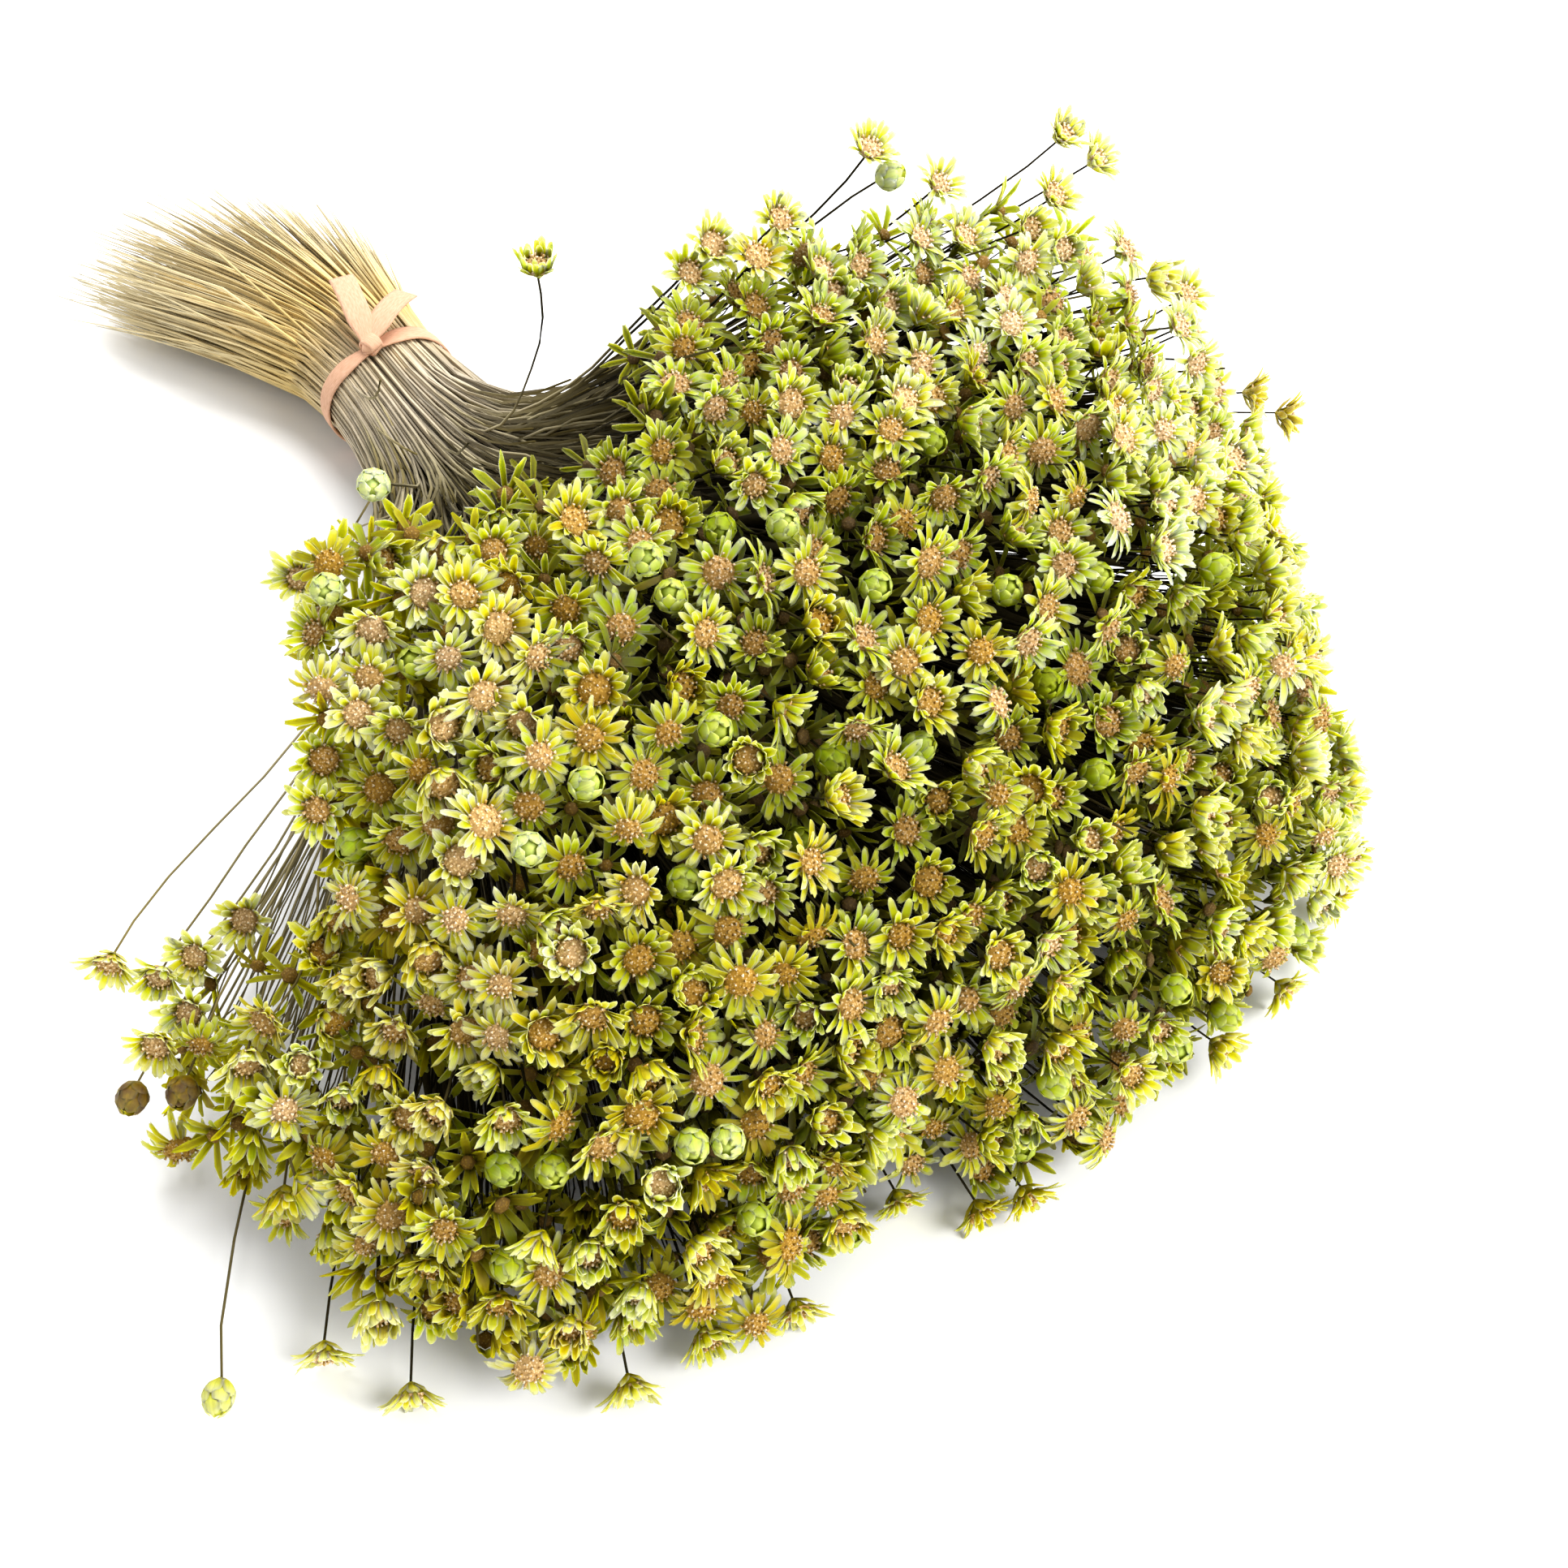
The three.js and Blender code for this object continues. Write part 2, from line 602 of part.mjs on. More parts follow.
// The tie: a flat band round the waist, a knot on top of it and two flat free ends that lie back
// over the cut ends.
function tie() {
  const outline = ovalAround(band.gap + band.thickness);
  outline.holes.push(ovalAround(band.gap));
  const hoop = new THREE.ExtrudeGeometry(outline, {
    depth: band.width,
    bevelEnabled: false,
    curveSegments: band.segments,
  });
  const toX = new THREE.Matrix4().makeBasis(
    new THREE.Vector3(0, 1, 0),
    new THREE.Vector3(0, 0, 1),
    new THREE.Vector3(1, 0, 0),
  );
  hoop.applyMatrix4(toX).translate(tieX - band.width / 2, 0, 0);

  const around = knot.turn * degrees;
  const knotAt = new THREE.Vector3(
    tieX + knot.ahead,
    tieY - (bundleY + knot.out) * Math.cos(around),
    tieZ + (bundleZ + knot.out) * Math.sin(around) + knot.lift,
  );
  const lump = new THREE.SphereGeometry(0.5, 8, 6);
  lump.scale(knot.length, knot.width, knot.height).translate(...knotAt.toArray());

  const ends = freeEnds.map((end) => {
    const strip = new THREE.BoxGeometry(end.length, end.width, end.thickness);
    strip.translate(end.length / 2, 0, 0);
    strip.rotateY(-end.rise * degrees).rotateZ(end.yaw * degrees);
    return strip.translate(knotAt.x, knotAt.y, knotAt.z + freeEndLift);
  });
  const whole = wasm.Manifold.union([hoop, lump, ...ends].map(solidOf));
  const flat = whole.trimByPlane([0, 0, 1], 0);
  return namedMesh('tie_band', geometryOf(flat), colours.tie, 0.85);
}

const bunch = new THREE.Group();
bunch.add(...sprays(placeStems()), tie());

export default bunch;
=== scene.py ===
import math

import bpy
import numpy as np
from mathutils import Matrix, Vector


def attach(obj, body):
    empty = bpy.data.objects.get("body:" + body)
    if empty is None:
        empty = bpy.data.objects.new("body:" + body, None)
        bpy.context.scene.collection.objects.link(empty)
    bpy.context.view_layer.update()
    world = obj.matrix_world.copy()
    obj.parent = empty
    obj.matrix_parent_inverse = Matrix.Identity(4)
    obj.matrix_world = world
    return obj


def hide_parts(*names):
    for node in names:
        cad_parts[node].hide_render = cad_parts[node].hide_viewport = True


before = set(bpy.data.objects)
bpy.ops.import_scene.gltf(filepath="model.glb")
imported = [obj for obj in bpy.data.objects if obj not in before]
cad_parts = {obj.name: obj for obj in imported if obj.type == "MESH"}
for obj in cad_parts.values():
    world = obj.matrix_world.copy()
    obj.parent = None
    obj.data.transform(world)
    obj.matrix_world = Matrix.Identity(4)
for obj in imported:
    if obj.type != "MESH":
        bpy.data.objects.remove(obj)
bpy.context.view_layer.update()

# A tied bunch of dried star flowers lying down. Shapes are worked out in millimetres.
mm = 0.001

# The bundle: where the tie is, the oval that the stems fill there, and how they bend away from it.
bundle = {
    "tie": (-66.0, -2.0, 12.95), "halfWidth": 13.0, "halfHeight": 12.0, "waist": 3.0, "bend": 28.0,
    "packedBend": 80.0, "cutReach": 80.0, "cutSpread": 0.44, "cutSwing": 0.28, "cutRise": -0.05,
}

# The fan of blooms in front of the tie: degrees of pitch and yaw, millimetres of reach. Here and
# further on, two numbers are read by line and four by sloped.
fan = {
    "floor": 1.2, "top": (32.0, 8.0, -0.15, 0.3), "topFarRight": (0.0, -10.0, 0.75, 1.05),
    "left": (39.0, -13.0, 0.15, 0.45), "right": (39.0, 7.0, 0.3, 0.9), "front": 209.0,
    "frontLeft": (0.0, 40.0, 0.5, 1.05), "frontRight": (0.0, 34.0, 0.55, 1.1),
    "high": (138.0, -20.0, -0.1, 0.3), "highRight": (0.0, 28.0, 0.7, 1.0), "curve": 1.7,
    "cleft": 12.0, "cleftAt": -0.1, "cleftWidth": 0.09, "cleftHeight": (1.0, -1.0, 0.08, 0.3),
}

# How the heads are spread over the fan.
spread = {
    "columns": 6, "rows": 4, "strandGap": 0.3, "root": 42.0, "rootShare": 0.82, "bloomGap": 5.9,
    "deepGap": 6.6, "headToStem": 1.9, "stemToStem": 0.75, "outerDepth": 6.0,
    "deepDepth": (10.0, 10.0), "mostOuter": 505, "mostDeep": 60, "outerTries": 30000,
    "deepTries": 5000, "lowest": 4.2, "budShare": 0.07, "faceLift": 0.28, "faceTilt": 0.9,
    "bloomDepth": 2.2, "budDepth": 2.4, "size": (4.7, 1.1), "straySize": 5.0, "seed": 7,
}

# Single heads outside the mass: yaw, pitch and length from the tie, place (u, v), the lift of the
# face above the stem, how open it is (0 is a bud, 1 is flat), its age from fresh 0 to brown 1, and
# how far its stem bows sideways.
strays = [
    (0.7, 44.7, 107, 0.0, 0.97, 42, 0.2, 0.2, 2),
    (-31.7, -2.2, 204, -0.8, -0.97, 0, 0.0, 0.35, -7),
    (32.5, 39, 130, 0.72, 0.97, 25, 0.6, 0.2, 0), (33.2, 36.5, 129, 0.7, 0.8, 0, 0.0, 0.05, 0),
    (22.8, 39, 122, 0.5, 0.95, 15, 0.7, 0.25, 0), (44.6, 30.8, 147, 0.97, 0.97, 25, 0.5, 0.3, 0),
    (44.9, 28.3, 150, 0.97, 0.84, 15, 0.6, 0.3, 0), (39.7, 29.2, 146, 0.87, 0.88, 20, 0.7, 0.3, 0),
    (42.4, 19.4, 159, 0.96, 0.2, 40, 0.7, 0.2, 0), (40.4, 13.4, 169, 0.96, -0.2, -5, 0.6, 0.75, 0),
    (40.8, 11.6, 174, 0.97, -0.35, -15, 0.6, 0.75, 0),
    (-38.8, 7.1, 154, -0.96, -0.62, -10, 0.7, 0.45, 0),
    (-36.8, 3.1, 168, -0.93, -0.85, 0, 0.0, 1.0, 0),
    (-34.2, 3.8, 168, -0.85, -0.83, 0, 0.0, 1.0, 0),
    (-20.5, 32.9, 134, -0.78, 0.96, 0, 0.0, 0.05, 0),
    (-7, 28.4, 162, -0.27, 0.74, 20, 0.0, 0.05, 0),
    (-27.8, -2.3, 199, -0.71, -0.97, -20, 0.8, 0.4, 0),
    (-24.4, -2.4, 206, -0.62, -0.97, -20, 0.7, 0.4, 0),
    (-16.3, -2.2, 211, -0.42, -0.97, -15, 0.6, 0.4, 0),
    (-9.4, -2.2, 208, -0.24, -0.97, -15, 0.7, 0.4, 0),
    (-3.5, -2.3, 199, -0.1, -0.97, -20, 0.8, 0.4, 0),
    (-0.8, -2.4, 206, -0.02, -0.97, -20, 0.8, 0.5, 0),
    (1.1, -2.2, 208, 0.06, -0.97, -15, 0.7, 0.5, 0),
    (16.5, -1.9, 209, 0.42, -0.97, -15, 0.8, 0.4, 0),
    (22.2, -1.9, 207, 0.57, -0.97, -10, 0.8, 0.4, 0),
    (-36.7, 5.5, 152, -0.97, -0.7, 5, 0.5, 0.3, 0),
    (-34.9, 6.1, 149, -0.9, -0.66, 30, 0.6, 0.35, 0),
    (-32.3, 7.1, 144, -0.84, -0.58, 35, 0.7, 0.35, 0),
    (-35.8, 4.9, 163, -0.93, -0.76, 15, 0.5, 0.4, 0),
    (-34.5, 5.4, 158, -0.84, -0.72, 30, 0.5, 0.3, 0),
    (-28.5, 24.7, 112, -0.97, 0.55, 20, 0.6, 0.3, 0),
    (-25.9, 23, 118, -0.9, 0.42, 20, 0.5, 0.3, 0), (16.3, 40.1, 118, 0.35, 0.97, 10, 0.6, 0.2, 0),
    (14.1, 39.1, 114, 0.28, 0.9, 15, 0.7, 0.2, 0), (18.3, 37.9, 122, 0.42, 0.87, 20, 0.8, 0.5, 0),
    (35.3, 34.1, 134, 0.8, 0.95, 20, 0.8, 0.2, 0), (33.4, 30.8, 136, 0.78, 0.76, 25, 0.7, 0.2, 0),
]


def ease(a, b, x):
    # 0 below a, 1 above b, t * t * (3 - 2t) between
    t = np.clip((x - a) / (b - a), 0, 1)
    return t * t * (3 - 2 * t)


def line(values, x):
    # the first value, and the second times x more
    return values[0] + values[1] * x


def sloped(values, x):
    # the first value, and up to the second more as x goes from the third to the fourth
    return line(values, ease(values[2], values[3], x))


def unit(v):
    # v over its length
    return v / np.maximum(np.linalg.norm(v, axis=-1, keepdims=True), 1e-9)


def directionOf(yaw, pitch):
    # (cos pitch * cos yaw, cos pitch * sin yaw, sin pitch)
    yaw, pitch = np.radians(yaw), np.radians(pitch)
    return np.stack([np.cos(pitch) * np.cos(yaw), np.cos(pitch) * np.sin(yaw),
                     np.sin(pitch) + 0 * yaw], axis=-1)


def heading(u, v):
    # yaw grows with u and pitch with v; the left side narrows upwards, the right side widens
    w = (v + 1) / 2
    side = np.where(u < 0, sloped(fan["left"], w), sloped(fan["right"], w))
    top = sloped(fan["top"], u) + sloped(fan["topFarRight"], u)
    return directionOf(side * u, fan["floor"] + (top - fan["floor"]) * w)


def reach(u, v):
    # longest stem at (u, v): long in front, short on top, with a cleft low in front of
    # cleft * e^-((u - cleftAt) / cleftWidth)^2
    w = (v + 1) / 2
    cleft = (fan["cleft"] * np.exp(-(((u - fan["cleftAt"]) / fan["cleftWidth"]) ** 2))
             * sloped(fan["cleftHeight"], w))
    low = fan["front"] - sloped(fan["frontLeft"], -u) - sloped(fan["frontRight"], u) - cleft
    high = sloped(fan["high"], u) + sloped(fan["highRight"], u)
    return low + (high - low) * w ** fan["curve"]


def tiePoint(u, v):
    # the square of (u, v) mapped to the oval at the tie
    x, y, z = bundle["tie"]
    return np.stack([x + 0 * u, y + bundle["halfWidth"] * u * np.sqrt(1 - v * v / 2),
                     z + bundle["halfHeight"] * v * np.sqrt(1 - u * u / 2)], axis=-1)


def stemPoint(u, v, s, bend=bundle["bend"]):
    # s mm along a stem: straight through the waist, then bent by past^2 / (past + bend) to its
    # heading; behind the tie it swings to one side, spreads, and falls at the top
    past = np.maximum(0, np.abs(s) - bundle["waist"])
    bent = (past * past / (past + bend))[..., None]
    ahead = heading(u, v) * bent
    ahead[..., 0] += s - bent[..., 0]
    spreadOut = bundle["cutSpread"] * u - bundle["cutSwing"]
    behind = np.stack([s + 0 * u, spreadOut * bent[..., 0],
                       bundle["cutRise"] * bent[..., 0] * (v + 1)], axis=-1)
    return tiePoint(u, v) + np.where((s >= 0)[..., None], ahead, behind)


def seededDraws(start, count):
    # each state is 1664525 times the last plus 1013904223, modulo 2 to the 32
    draws, state = np.empty(count), start
    for i in range(count):
        state = (state * 1664525 + 1013904223) % 4294967296
        draws[i] = state / 4294967296
    return draws


def inCell(value, count):
    # the cell that a place lies in along one side, and how far it is from its middle, -1 to 1
    cell = np.clip(np.floor((value + 1) / 2 * count), 0, count - 1)
    return cell.astype(int), (value + 1) * count - 2 * cell - 1


def packedPoint(u, v, s):
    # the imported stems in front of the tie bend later
    return stemPoint(u, v, s, bundle["packedBend"])


def onward(u, v):
    # the way from a place on a strand's front to the mass of heads
    return unit(stemPoint(u, v, reach(u, v)) - packedPoint(u, v, np.full(u.shape, spread["root"])))


def strandFronts():
    # the flat front of each strand of packed stems, square to its middle stem's way on: four
    # corners, each slid along its own way into the plane
    row, column = np.mgrid[0:spread["rows"], 0:spread["columns"]]
    u = (2 * column + 1) / spread["columns"] - 1
    v = (2 * row + 1) / spread["rows"] - 1
    s = np.full(u.shape, spread["root"])
    normal, middle = onward(u, v), packedPoint(u, v, s)
    inset = spread["strandGap"] / 2 / bundle["halfHeight"]
    du, dv = 1 / spread["columns"] - inset, 1 / spread["rows"] - inset
    corners = []
    for a, b in ((-du, -dv), (du, -dv), (du, dv), (-du, dv)):
        point, way = packedPoint(u + a, v + b, s), onward(u + a, v + b)
        off = ((point - middle) * normal).sum(-1) / (way * normal).sum(-1)
        corners.append(point - way * off[..., None])
    return np.stack(corners, axis=2)


def rooted(u, v):
    # cell, root on the strand's front (the blend of its corners), and the place drawn in with it
    column, across = inCell(u, spread["columns"])
    row, up = inCell(v, spread["rows"])
    a, b = across * spread["rootShare"], up * spread["rootShare"]
    shares = np.stack([(1 - a) * (1 - b), (1 + a) * (1 - b), (1 + a) * (1 + b),
                       (1 - a) * (1 + b)], axis=-1) / 4
    root = (strandFronts()[row, column] * shares[..., None]).sum(axis=-2)
    return {"column": column, "row": row, "root": root,
            "u": (2 * column + 1 + a) / spread["columns"] - 1,
            "v": (2 * row + 1 + b) / spread["rows"] - 1}


def toSegment(a, b, p):
    # distance from p to the segment a-b
    along = b - a
    t = np.clip(((p - a) * along).sum(-1) / (along * along).sum(-1), 0, 1)
    return np.linalg.norm(a + along * t[..., None] - p, axis=-1)


def between(a, b, c, d):
    # distance between the segments a-b and c-d: the nearest places on their lines, kept within each
    first, second, apart = b - a, d - c, a - c
    firstLong, secondLong = (first * first).sum(-1), (second * second).sum(-1)
    cross, lean = (first * second).sum(-1), (second * apart).sum(-1)
    spare = firstLong * secondLong - cross * cross
    lead = cross * lean - (first * apart).sum(-1) * secondLong
    s = np.where(spare > 1e-9, np.clip(lead / np.maximum(spare, 1e-9), 0, 1), 0)
    t = np.clip((cross * s + lean) / secondLong, 0, 1)
    s = np.clip((cross * t - (first * apart).sum(-1)) / firstLong, 0, 1)
    return np.linalg.norm(apart + first * s[..., None] - second * t[..., None], axis=-1)


def massHeads(draws, depth):
    # heads of the mass at random places, each looking along its stem and a little up
    count = len(draws)
    u, v = 2 * draws[:, 0] - 1, 2 * draws[:, 1] - 1
    length = reach(u, v) - depth
    end = stemPoint(u, v, length)
    facing = end - stemPoint(u, v, length - 1)
    facing[:, 2] += spread["faceLift"]
    facing = unit(facing + (draws[:, 3:6] - 0.5) * spread["faceTilt"])
    return {"end": end, "facing": facing, "bud": draws[:, 6] < spread["budShare"],
            "length": length, "size": line(spread["size"], draws[:, 4]),
            "open": np.full(count, -1.0), "age": np.full(count, -1.0), "bow": np.zeros(count),
            **rooted(u, v)}


def strayHeads():
    # each lies at its length from the tie's middle, and its face lifts from that way
    yaw, pitch, far, u, v, lift, openness, age, bow = np.array(strays, float).T
    zero = np.zeros(len(strays))
    return {"end": tiePoint(zero, zero) + directionOf(yaw, pitch) * far[:, None],
            "facing": directionOf(yaw, pitch + lift), "bud": openness == 0, "length": far,
            "size": zero + spread["straySize"], "open": openness, "age": age, "bow": bow,
            **rooted(u, v)}


def joined(first, second):
    return {key: np.concatenate([first[key], second[key]]) for key in first}


def withNeck(head):
    # the neck is where the stem meets the head, behind its middle along its facing
    depth = np.where(head["bud"], spread["budDepth"], spread["bloomDepth"])[:, None]
    head["neck"] = head["end"] - head["facing"] * depth
    return head


def placeHeads():
    # keeps each candidate that clears all the kept ones: first the outer blooms, then the deeper
    # ones that show between them; the strays are always kept
    tries = spread["outerTries"] + spread["deepTries"]
    draws = seededDraws(spread["seed"], 7 * tries).reshape(tries, 7)
    deep = np.arange(tries) >= spread["outerTries"]
    depth = np.where(deep, line(spread["deepDepth"], draws[:, 2]),
                     spread["outerDepth"] * draws[:, 2])
    tried = withNeck(joined(strayHeads(), massHeads(draws, depth)))
    tried["deep"] = np.concatenate([np.zeros(len(strays), bool), deep])
    end, root, neck = tried["end"], tried["root"], tried["neck"]
    kept = list(range(len(strays)))
    placed, most = [0, 0], (spread["mostOuter"], spread["mostDeep"])
    for i in range(len(strays), len(end)):
        layer = int(tried["deep"][i])
        if placed[layer] >= most[layer] or end[i, 2] < spread["lowest"]:
            continue
        own, others = (root[i][None], neck[i][None]), (root[kept], neck[kept])
        gap, toStem = spread["deepGap" if layer else "bloomGap"], spread["headToStem"]
        if not ((np.linalg.norm(end[kept] - end[i], axis=1) < gap).any()
                or (toSegment(*own, end[kept]) < toStem).any()
                or (toSegment(*others, end[i]) < toStem).any()
                or (between(*own, *others) < spread["stemToStem"]).any()):
            kept.append(i)
            placed[layer] += 1
    return {key: value[kept] for key, value in tried.items()}


# Blooms deep in the mass, which show only through its gaps. The first ones tried are low: from
# lowFrom of the width to the right edge, and within lowShare of the height.
backing = {
    "count": 915, "gap": 4.4, "tries": 30000, "lowTries": 900, "lowFrom": (0.1, 0.9),
    "lowShare": 0.25, "sink": 1.15, "depth": (3.5, 17.0), "lowest": 3.6,
}


def backingHeads(heads, rng):
    # keeps each that has room between the heads kept so far; its height is draw ^ sink, so a sink
    # over 1 draws them down
    draws = rng.uniform(0, 1, (backing["tries"], 7))
    draws[:, 1] **= backing["sink"]
    low = draws[:backing["lowTries"]]
    low[:, 0] = line(backing["lowFrom"], low[:, 0])
    low[:, 1] *= backing["lowShare"]
    draws[:, 6] = 1
    tried = withNeck(massHeads(draws, line(backing["depth"], draws[:, 2])))
    tried["deep"] = np.ones(len(draws), bool)
    ends, kept = list(heads["end"]), []
    for i, end in enumerate(tried["end"]):
        if len(kept) == backing["count"]:
            break
        if end[2] < backing["lowest"]:
            continue
        if np.linalg.norm(np.array(ends) - end, axis=1).min() > backing["gap"]:
            ends.append(end)
            kept.append(i)
    return {key: value[kept] for key, value in tried.items()}


# Swept surfaces. A part holds points, faces, and what its material reads at each point.

def crossAxes(axis):
    # two unit directions square to each axis, so that side x over = axis
    helper = np.where(np.abs(axis[..., 2:3]) < 0.9, [0.0, 0.0, 1.0], [1.0, 0.0, 0.0])
    side = unit(np.cross(helper, axis))
    return side, np.cross(axis, side)


def swept(centre, side, up, across, rise, material, along, rim, tone, age):
    # ring points = centre + side * across + up * rise for N tubes of S rings of R points, closed
    # by a cap at each end; along, rim, tone and age spread to every point
    points = (centre[:, :, None] + side[:, :, None] * across[..., None]
              + up[:, :, None] * rise[..., None])
    here = np.arange(across.size).reshape(across.shape)
    beside = np.roll(here, -1, axis=2)
    quads = np.stack([here[:, :-1], beside[:, :-1], beside[:, 1:], here[:, 1:]], axis=-1)
    part = {"points": points.reshape(-1, 3), "material": material,
            "faces": [quads.reshape(-1, 4), here[:, 0, ::-1], here[:, -1]]}
    for key, value in (("along", along), ("rim", rim), ("tone", tone), ("age", age)):
        part[key] = np.broadcast_to(value, across.shape).reshape(-1).astype(np.float32)
    return part


def settle(points):
    # nothing goes under the surface: below the skin, z turns into skin * e^((z - skin) / skin)
    skin = 0.35
    z = points[:, 2]
    points[:, 2] = np.where(z < skin, skin * np.exp(np.minimum(z - skin, 0) / skin), z)
    return points


def pieceFrom(name, parts, materials):
    # joins the parts into one mesh: arrays of points, loops and face starts, then its attributes
    piece = bpy.data.meshes.new(name)
    offset, loops, totals, slots = 0, [], [], []
    for part in parts:
        for faces in part["faces"]:
            loops.append((faces + offset).reshape(-1))
            totals.append(np.full(len(faces), faces.shape[1]))
            slots.append(np.full(len(faces), materials.index(part["material"])))
        offset += len(part["points"])
    loops, totals, slots = (np.concatenate(x).astype(np.int32) for x in (loops, totals, slots))
    points = settle(np.concatenate([part["points"] for part in parts])) * mm
    piece.vertices.add(len(points))
    piece.vertices.foreach_set("co", points.astype(np.float32).reshape(-1))
    piece.loops.add(len(loops))
    piece.loops.foreach_set("vertex_index", loops)
    piece.polygons.add(len(totals))
    piece.polygons.foreach_set("loop_start", (np.cumsum(totals) - totals).astype(np.int32))
    for material in materials:
        piece.materials.append(material)
    piece.polygons.foreach_set("material_index", slots)
    piece.polygons.foreach_set("use_smooth", np.ones(len(totals), bool))
    print(name, "triangles:", int((totals - 2).sum()))
    for key in ("along", "rim", "tone", "age"):
        values = np.concatenate([part[key] for part in parts])
        piece.attributes.new(key, "FLOAT", "POINT").data.foreach_set("value", values)
    piece.update()
    piece.validate()
    piece.set_sharp_from_angle(angle=math.radians(100))
    obj = bpy.data.objects.new(name, piece)
    bpy.context.scene.collection.objects.link(obj)
    return obj


# Materials.

def linear(hexColour):
    # sRGB hex to linear red, green, blue, alpha
    parts = [int(hexColour[i:i + 2], 16) / 255 for i in (1, 3, 5)]
    return tuple(p / 12.92 if p <= 0.04045 else ((p + 0.055) / 1.055) ** 2.4
                 for p in parts) + (1.0,)


def feed(tree, made, inputs):
    # sets a node's inputs, each from a number, a colour or the socket to link to it
    for key, value in inputs.items():
        if isinstance(value, bpy.types.NodeSocket):
            tree.links.new(value, made.inputs[key])
        else:
            made.inputs[key].default_value = value


def node(tree, kind, inputs, output=0, stops=(), **settings):
    # adds a node and returns one of its outputs; stops are a ramp's places and colours, and a new
    # ramp has two, which take the first and the last
    made = tree.nodes.new("ShaderNode" + kind)
    for key, value in settings.items():
        setattr(made, key, value)
    for i, (place, colour) in enumerate([*stops[:1], *stops[-1:], *stops[1:-1]]):
        elements = made.color_ramp.elements
        stop = elements[i] if i < 2 else elements.new(place)
        stop.position = place
        stop.color = linear(colour)
    feed(tree, made, inputs)
    return made.outputs[output]


def newMaterial(name, *attributes):
    # returns the material, its node tree, its shader and a socket for each attribute
    made = bpy.data.materials.new(name)
    made.use_nodes = True
    tree = made.node_tree
    return (made, tree, tree.nodes["Principled BSDF"],
            *(node(tree, "Attribute", {}, "Fac", attribute_name=item) for item in attributes))


def span(low, high, first=0.0, last=1.0):
    # the inputs of a Map Range that turns low to high into first to last, held at the ends
    return {"From Min": low, "From Max": high, "To Min": first, "To Max": last}


colourMix = {"output": 2, "data_type": "RGBA"}  # a Mix of two colours, its inputs 6 and 7

paper = {
    "ages": ((0.0, "#c6de88"), (0.14, "#c2d86c"), (0.38, "#cfd060"), (0.7, "#d5b952"),
             (1.0, "#4e341b")),
    "mottle": "#d5b952", "mottleSize": 1.6, "mottleShare": span(0.35, 0.7, 0.0, 0.25),
    # the gold heart is partly painted shade, the pale rim and tip partly a painted highlight
    "heart": "#aa961e", "heartShare": span(0.08, 0.5, 0.75, 0.0),
    "rim": "#f2f4cc", "rimShare": span(0.5, 1.0, 0.0, 0.8), "tipShare": span(0.5, 1.0, 0.0, 0.7),
    "fade": span(0.2, 1.0, 1.0, 0.12), "veins": 3.2, "veinLight": span(0.3, 0.7, 0.8, 1.14),
    # richness: more saturation where painted shade darkens the tone
    "richness": span(0.3, 1.1, 1.8, 1.05),
    "surface": {"Roughness": 0.55, "Specular IOR Level": 0.2, "IOR": 1.45,
                "Subsurface Weight": 0.85, "Subsurface Radius": (1.0, 1.0, 0.25),
                "Subsurface Scale": 0.5 * mm},
}


def paperyBract():
    # dry everlasting bract: thin, stiff and papery, so light glows through it, with a satin sheen.
    # It goes from pale over fresh green, yellow and straw to brown with age, is gold where it meets
    # the disc, deepened there by painted shade, paler at its edges and tip, where it is thinnest
    # and partly as a painted highlight, streaked by veins, and richer in colour the darker its
    # tone, which carries painted shade
    made, tree, shader, age, along, rim, tone = newMaterial("paperyBract", "age", "along", "rim",
                                                            "tone")
    coords = node(tree, "TexCoord", {}, "Object")
    body = node(tree, "ValToRGB", {"Fac": age}, stops=paper["ages"])
    mottle = node(tree, "TexNoise", {"Vector": coords, "Scale": 1 / (paper["mottleSize"] * mm),
                                     "Detail": 3.0})
    mottle = node(tree, "MapRange", {"Value": mottle, **paper["mottleShare"]})
    # heart: gold deepened by painted shade; edge and tip: paler, partly a painted highlight
    heart = node(tree, "MapRange", {"Value": along, **paper["heartShare"]})
    edge = node(tree, "MapRange", {"Value": rim, **paper["rimShare"]})
    tip = node(tree, "MapRange", {"Value": along, **paper["tipShare"]})
    fade = node(tree, "MapRange", {"Value": age, **paper["fade"]})
    thin = node(tree, "Math", {0: edge, 1: tip}, operation="MAXIMUM")
    thin = node(tree, "Math", {0: thin, 1: fade}, operation="MULTIPLY")
    for share, colour in ((mottle, "mottle"), (heart, "heart"), (thin, "rim")):
        body = node(tree, "Mix", {"Factor": share, 6: body, 7: linear(paper[colour])}, **colourMix)
    place = node(tree, "CombineXYZ", {"X": rim, "Y": tone})
    veins = node(tree, "TexNoise", {"Vector": place, "Scale": paper["veins"], "Detail": 3.0,
                                    "Roughness": 0.7})
    light = node(tree, "MapRange", {"Value": veins, **paper["veinLight"]})
    # the tone carries painted shade and light; the colour is richer where it is darker
    light = node(tree, "Math", {0: light, 1: tone}, operation="MULTIPLY")
    rich = node(tree, "MapRange", {"Value": tone, **paper["richness"]})
    toned = node(tree, "HueSaturation", {"Color": body, "Saturation": rich, "Value": light})
    feed(tree, shader, {"Base Color": toned, **paper["surface"]})
    return made


floret = {
    "young": ((0.0, "#8d6628"), (0.5, "#deba8e"), (1.0, "#fff3dc")),
    "old": ((0.0, "#8d6628"), (0.55, "#cfa65a"), (1.0, "#fff3dc")),
    "dryness": span(0.1, 0.45), "grain": 0.36, "grainShade": span(0.05, 0.6, 0.42, -0.25),
    "richness": span(0.3, 1.1, 1.5, 0.92), "bump": {"Strength": 0.7, "Distance": 0.15 * mm},
    "surface": {"Roughness": 0.8},
}


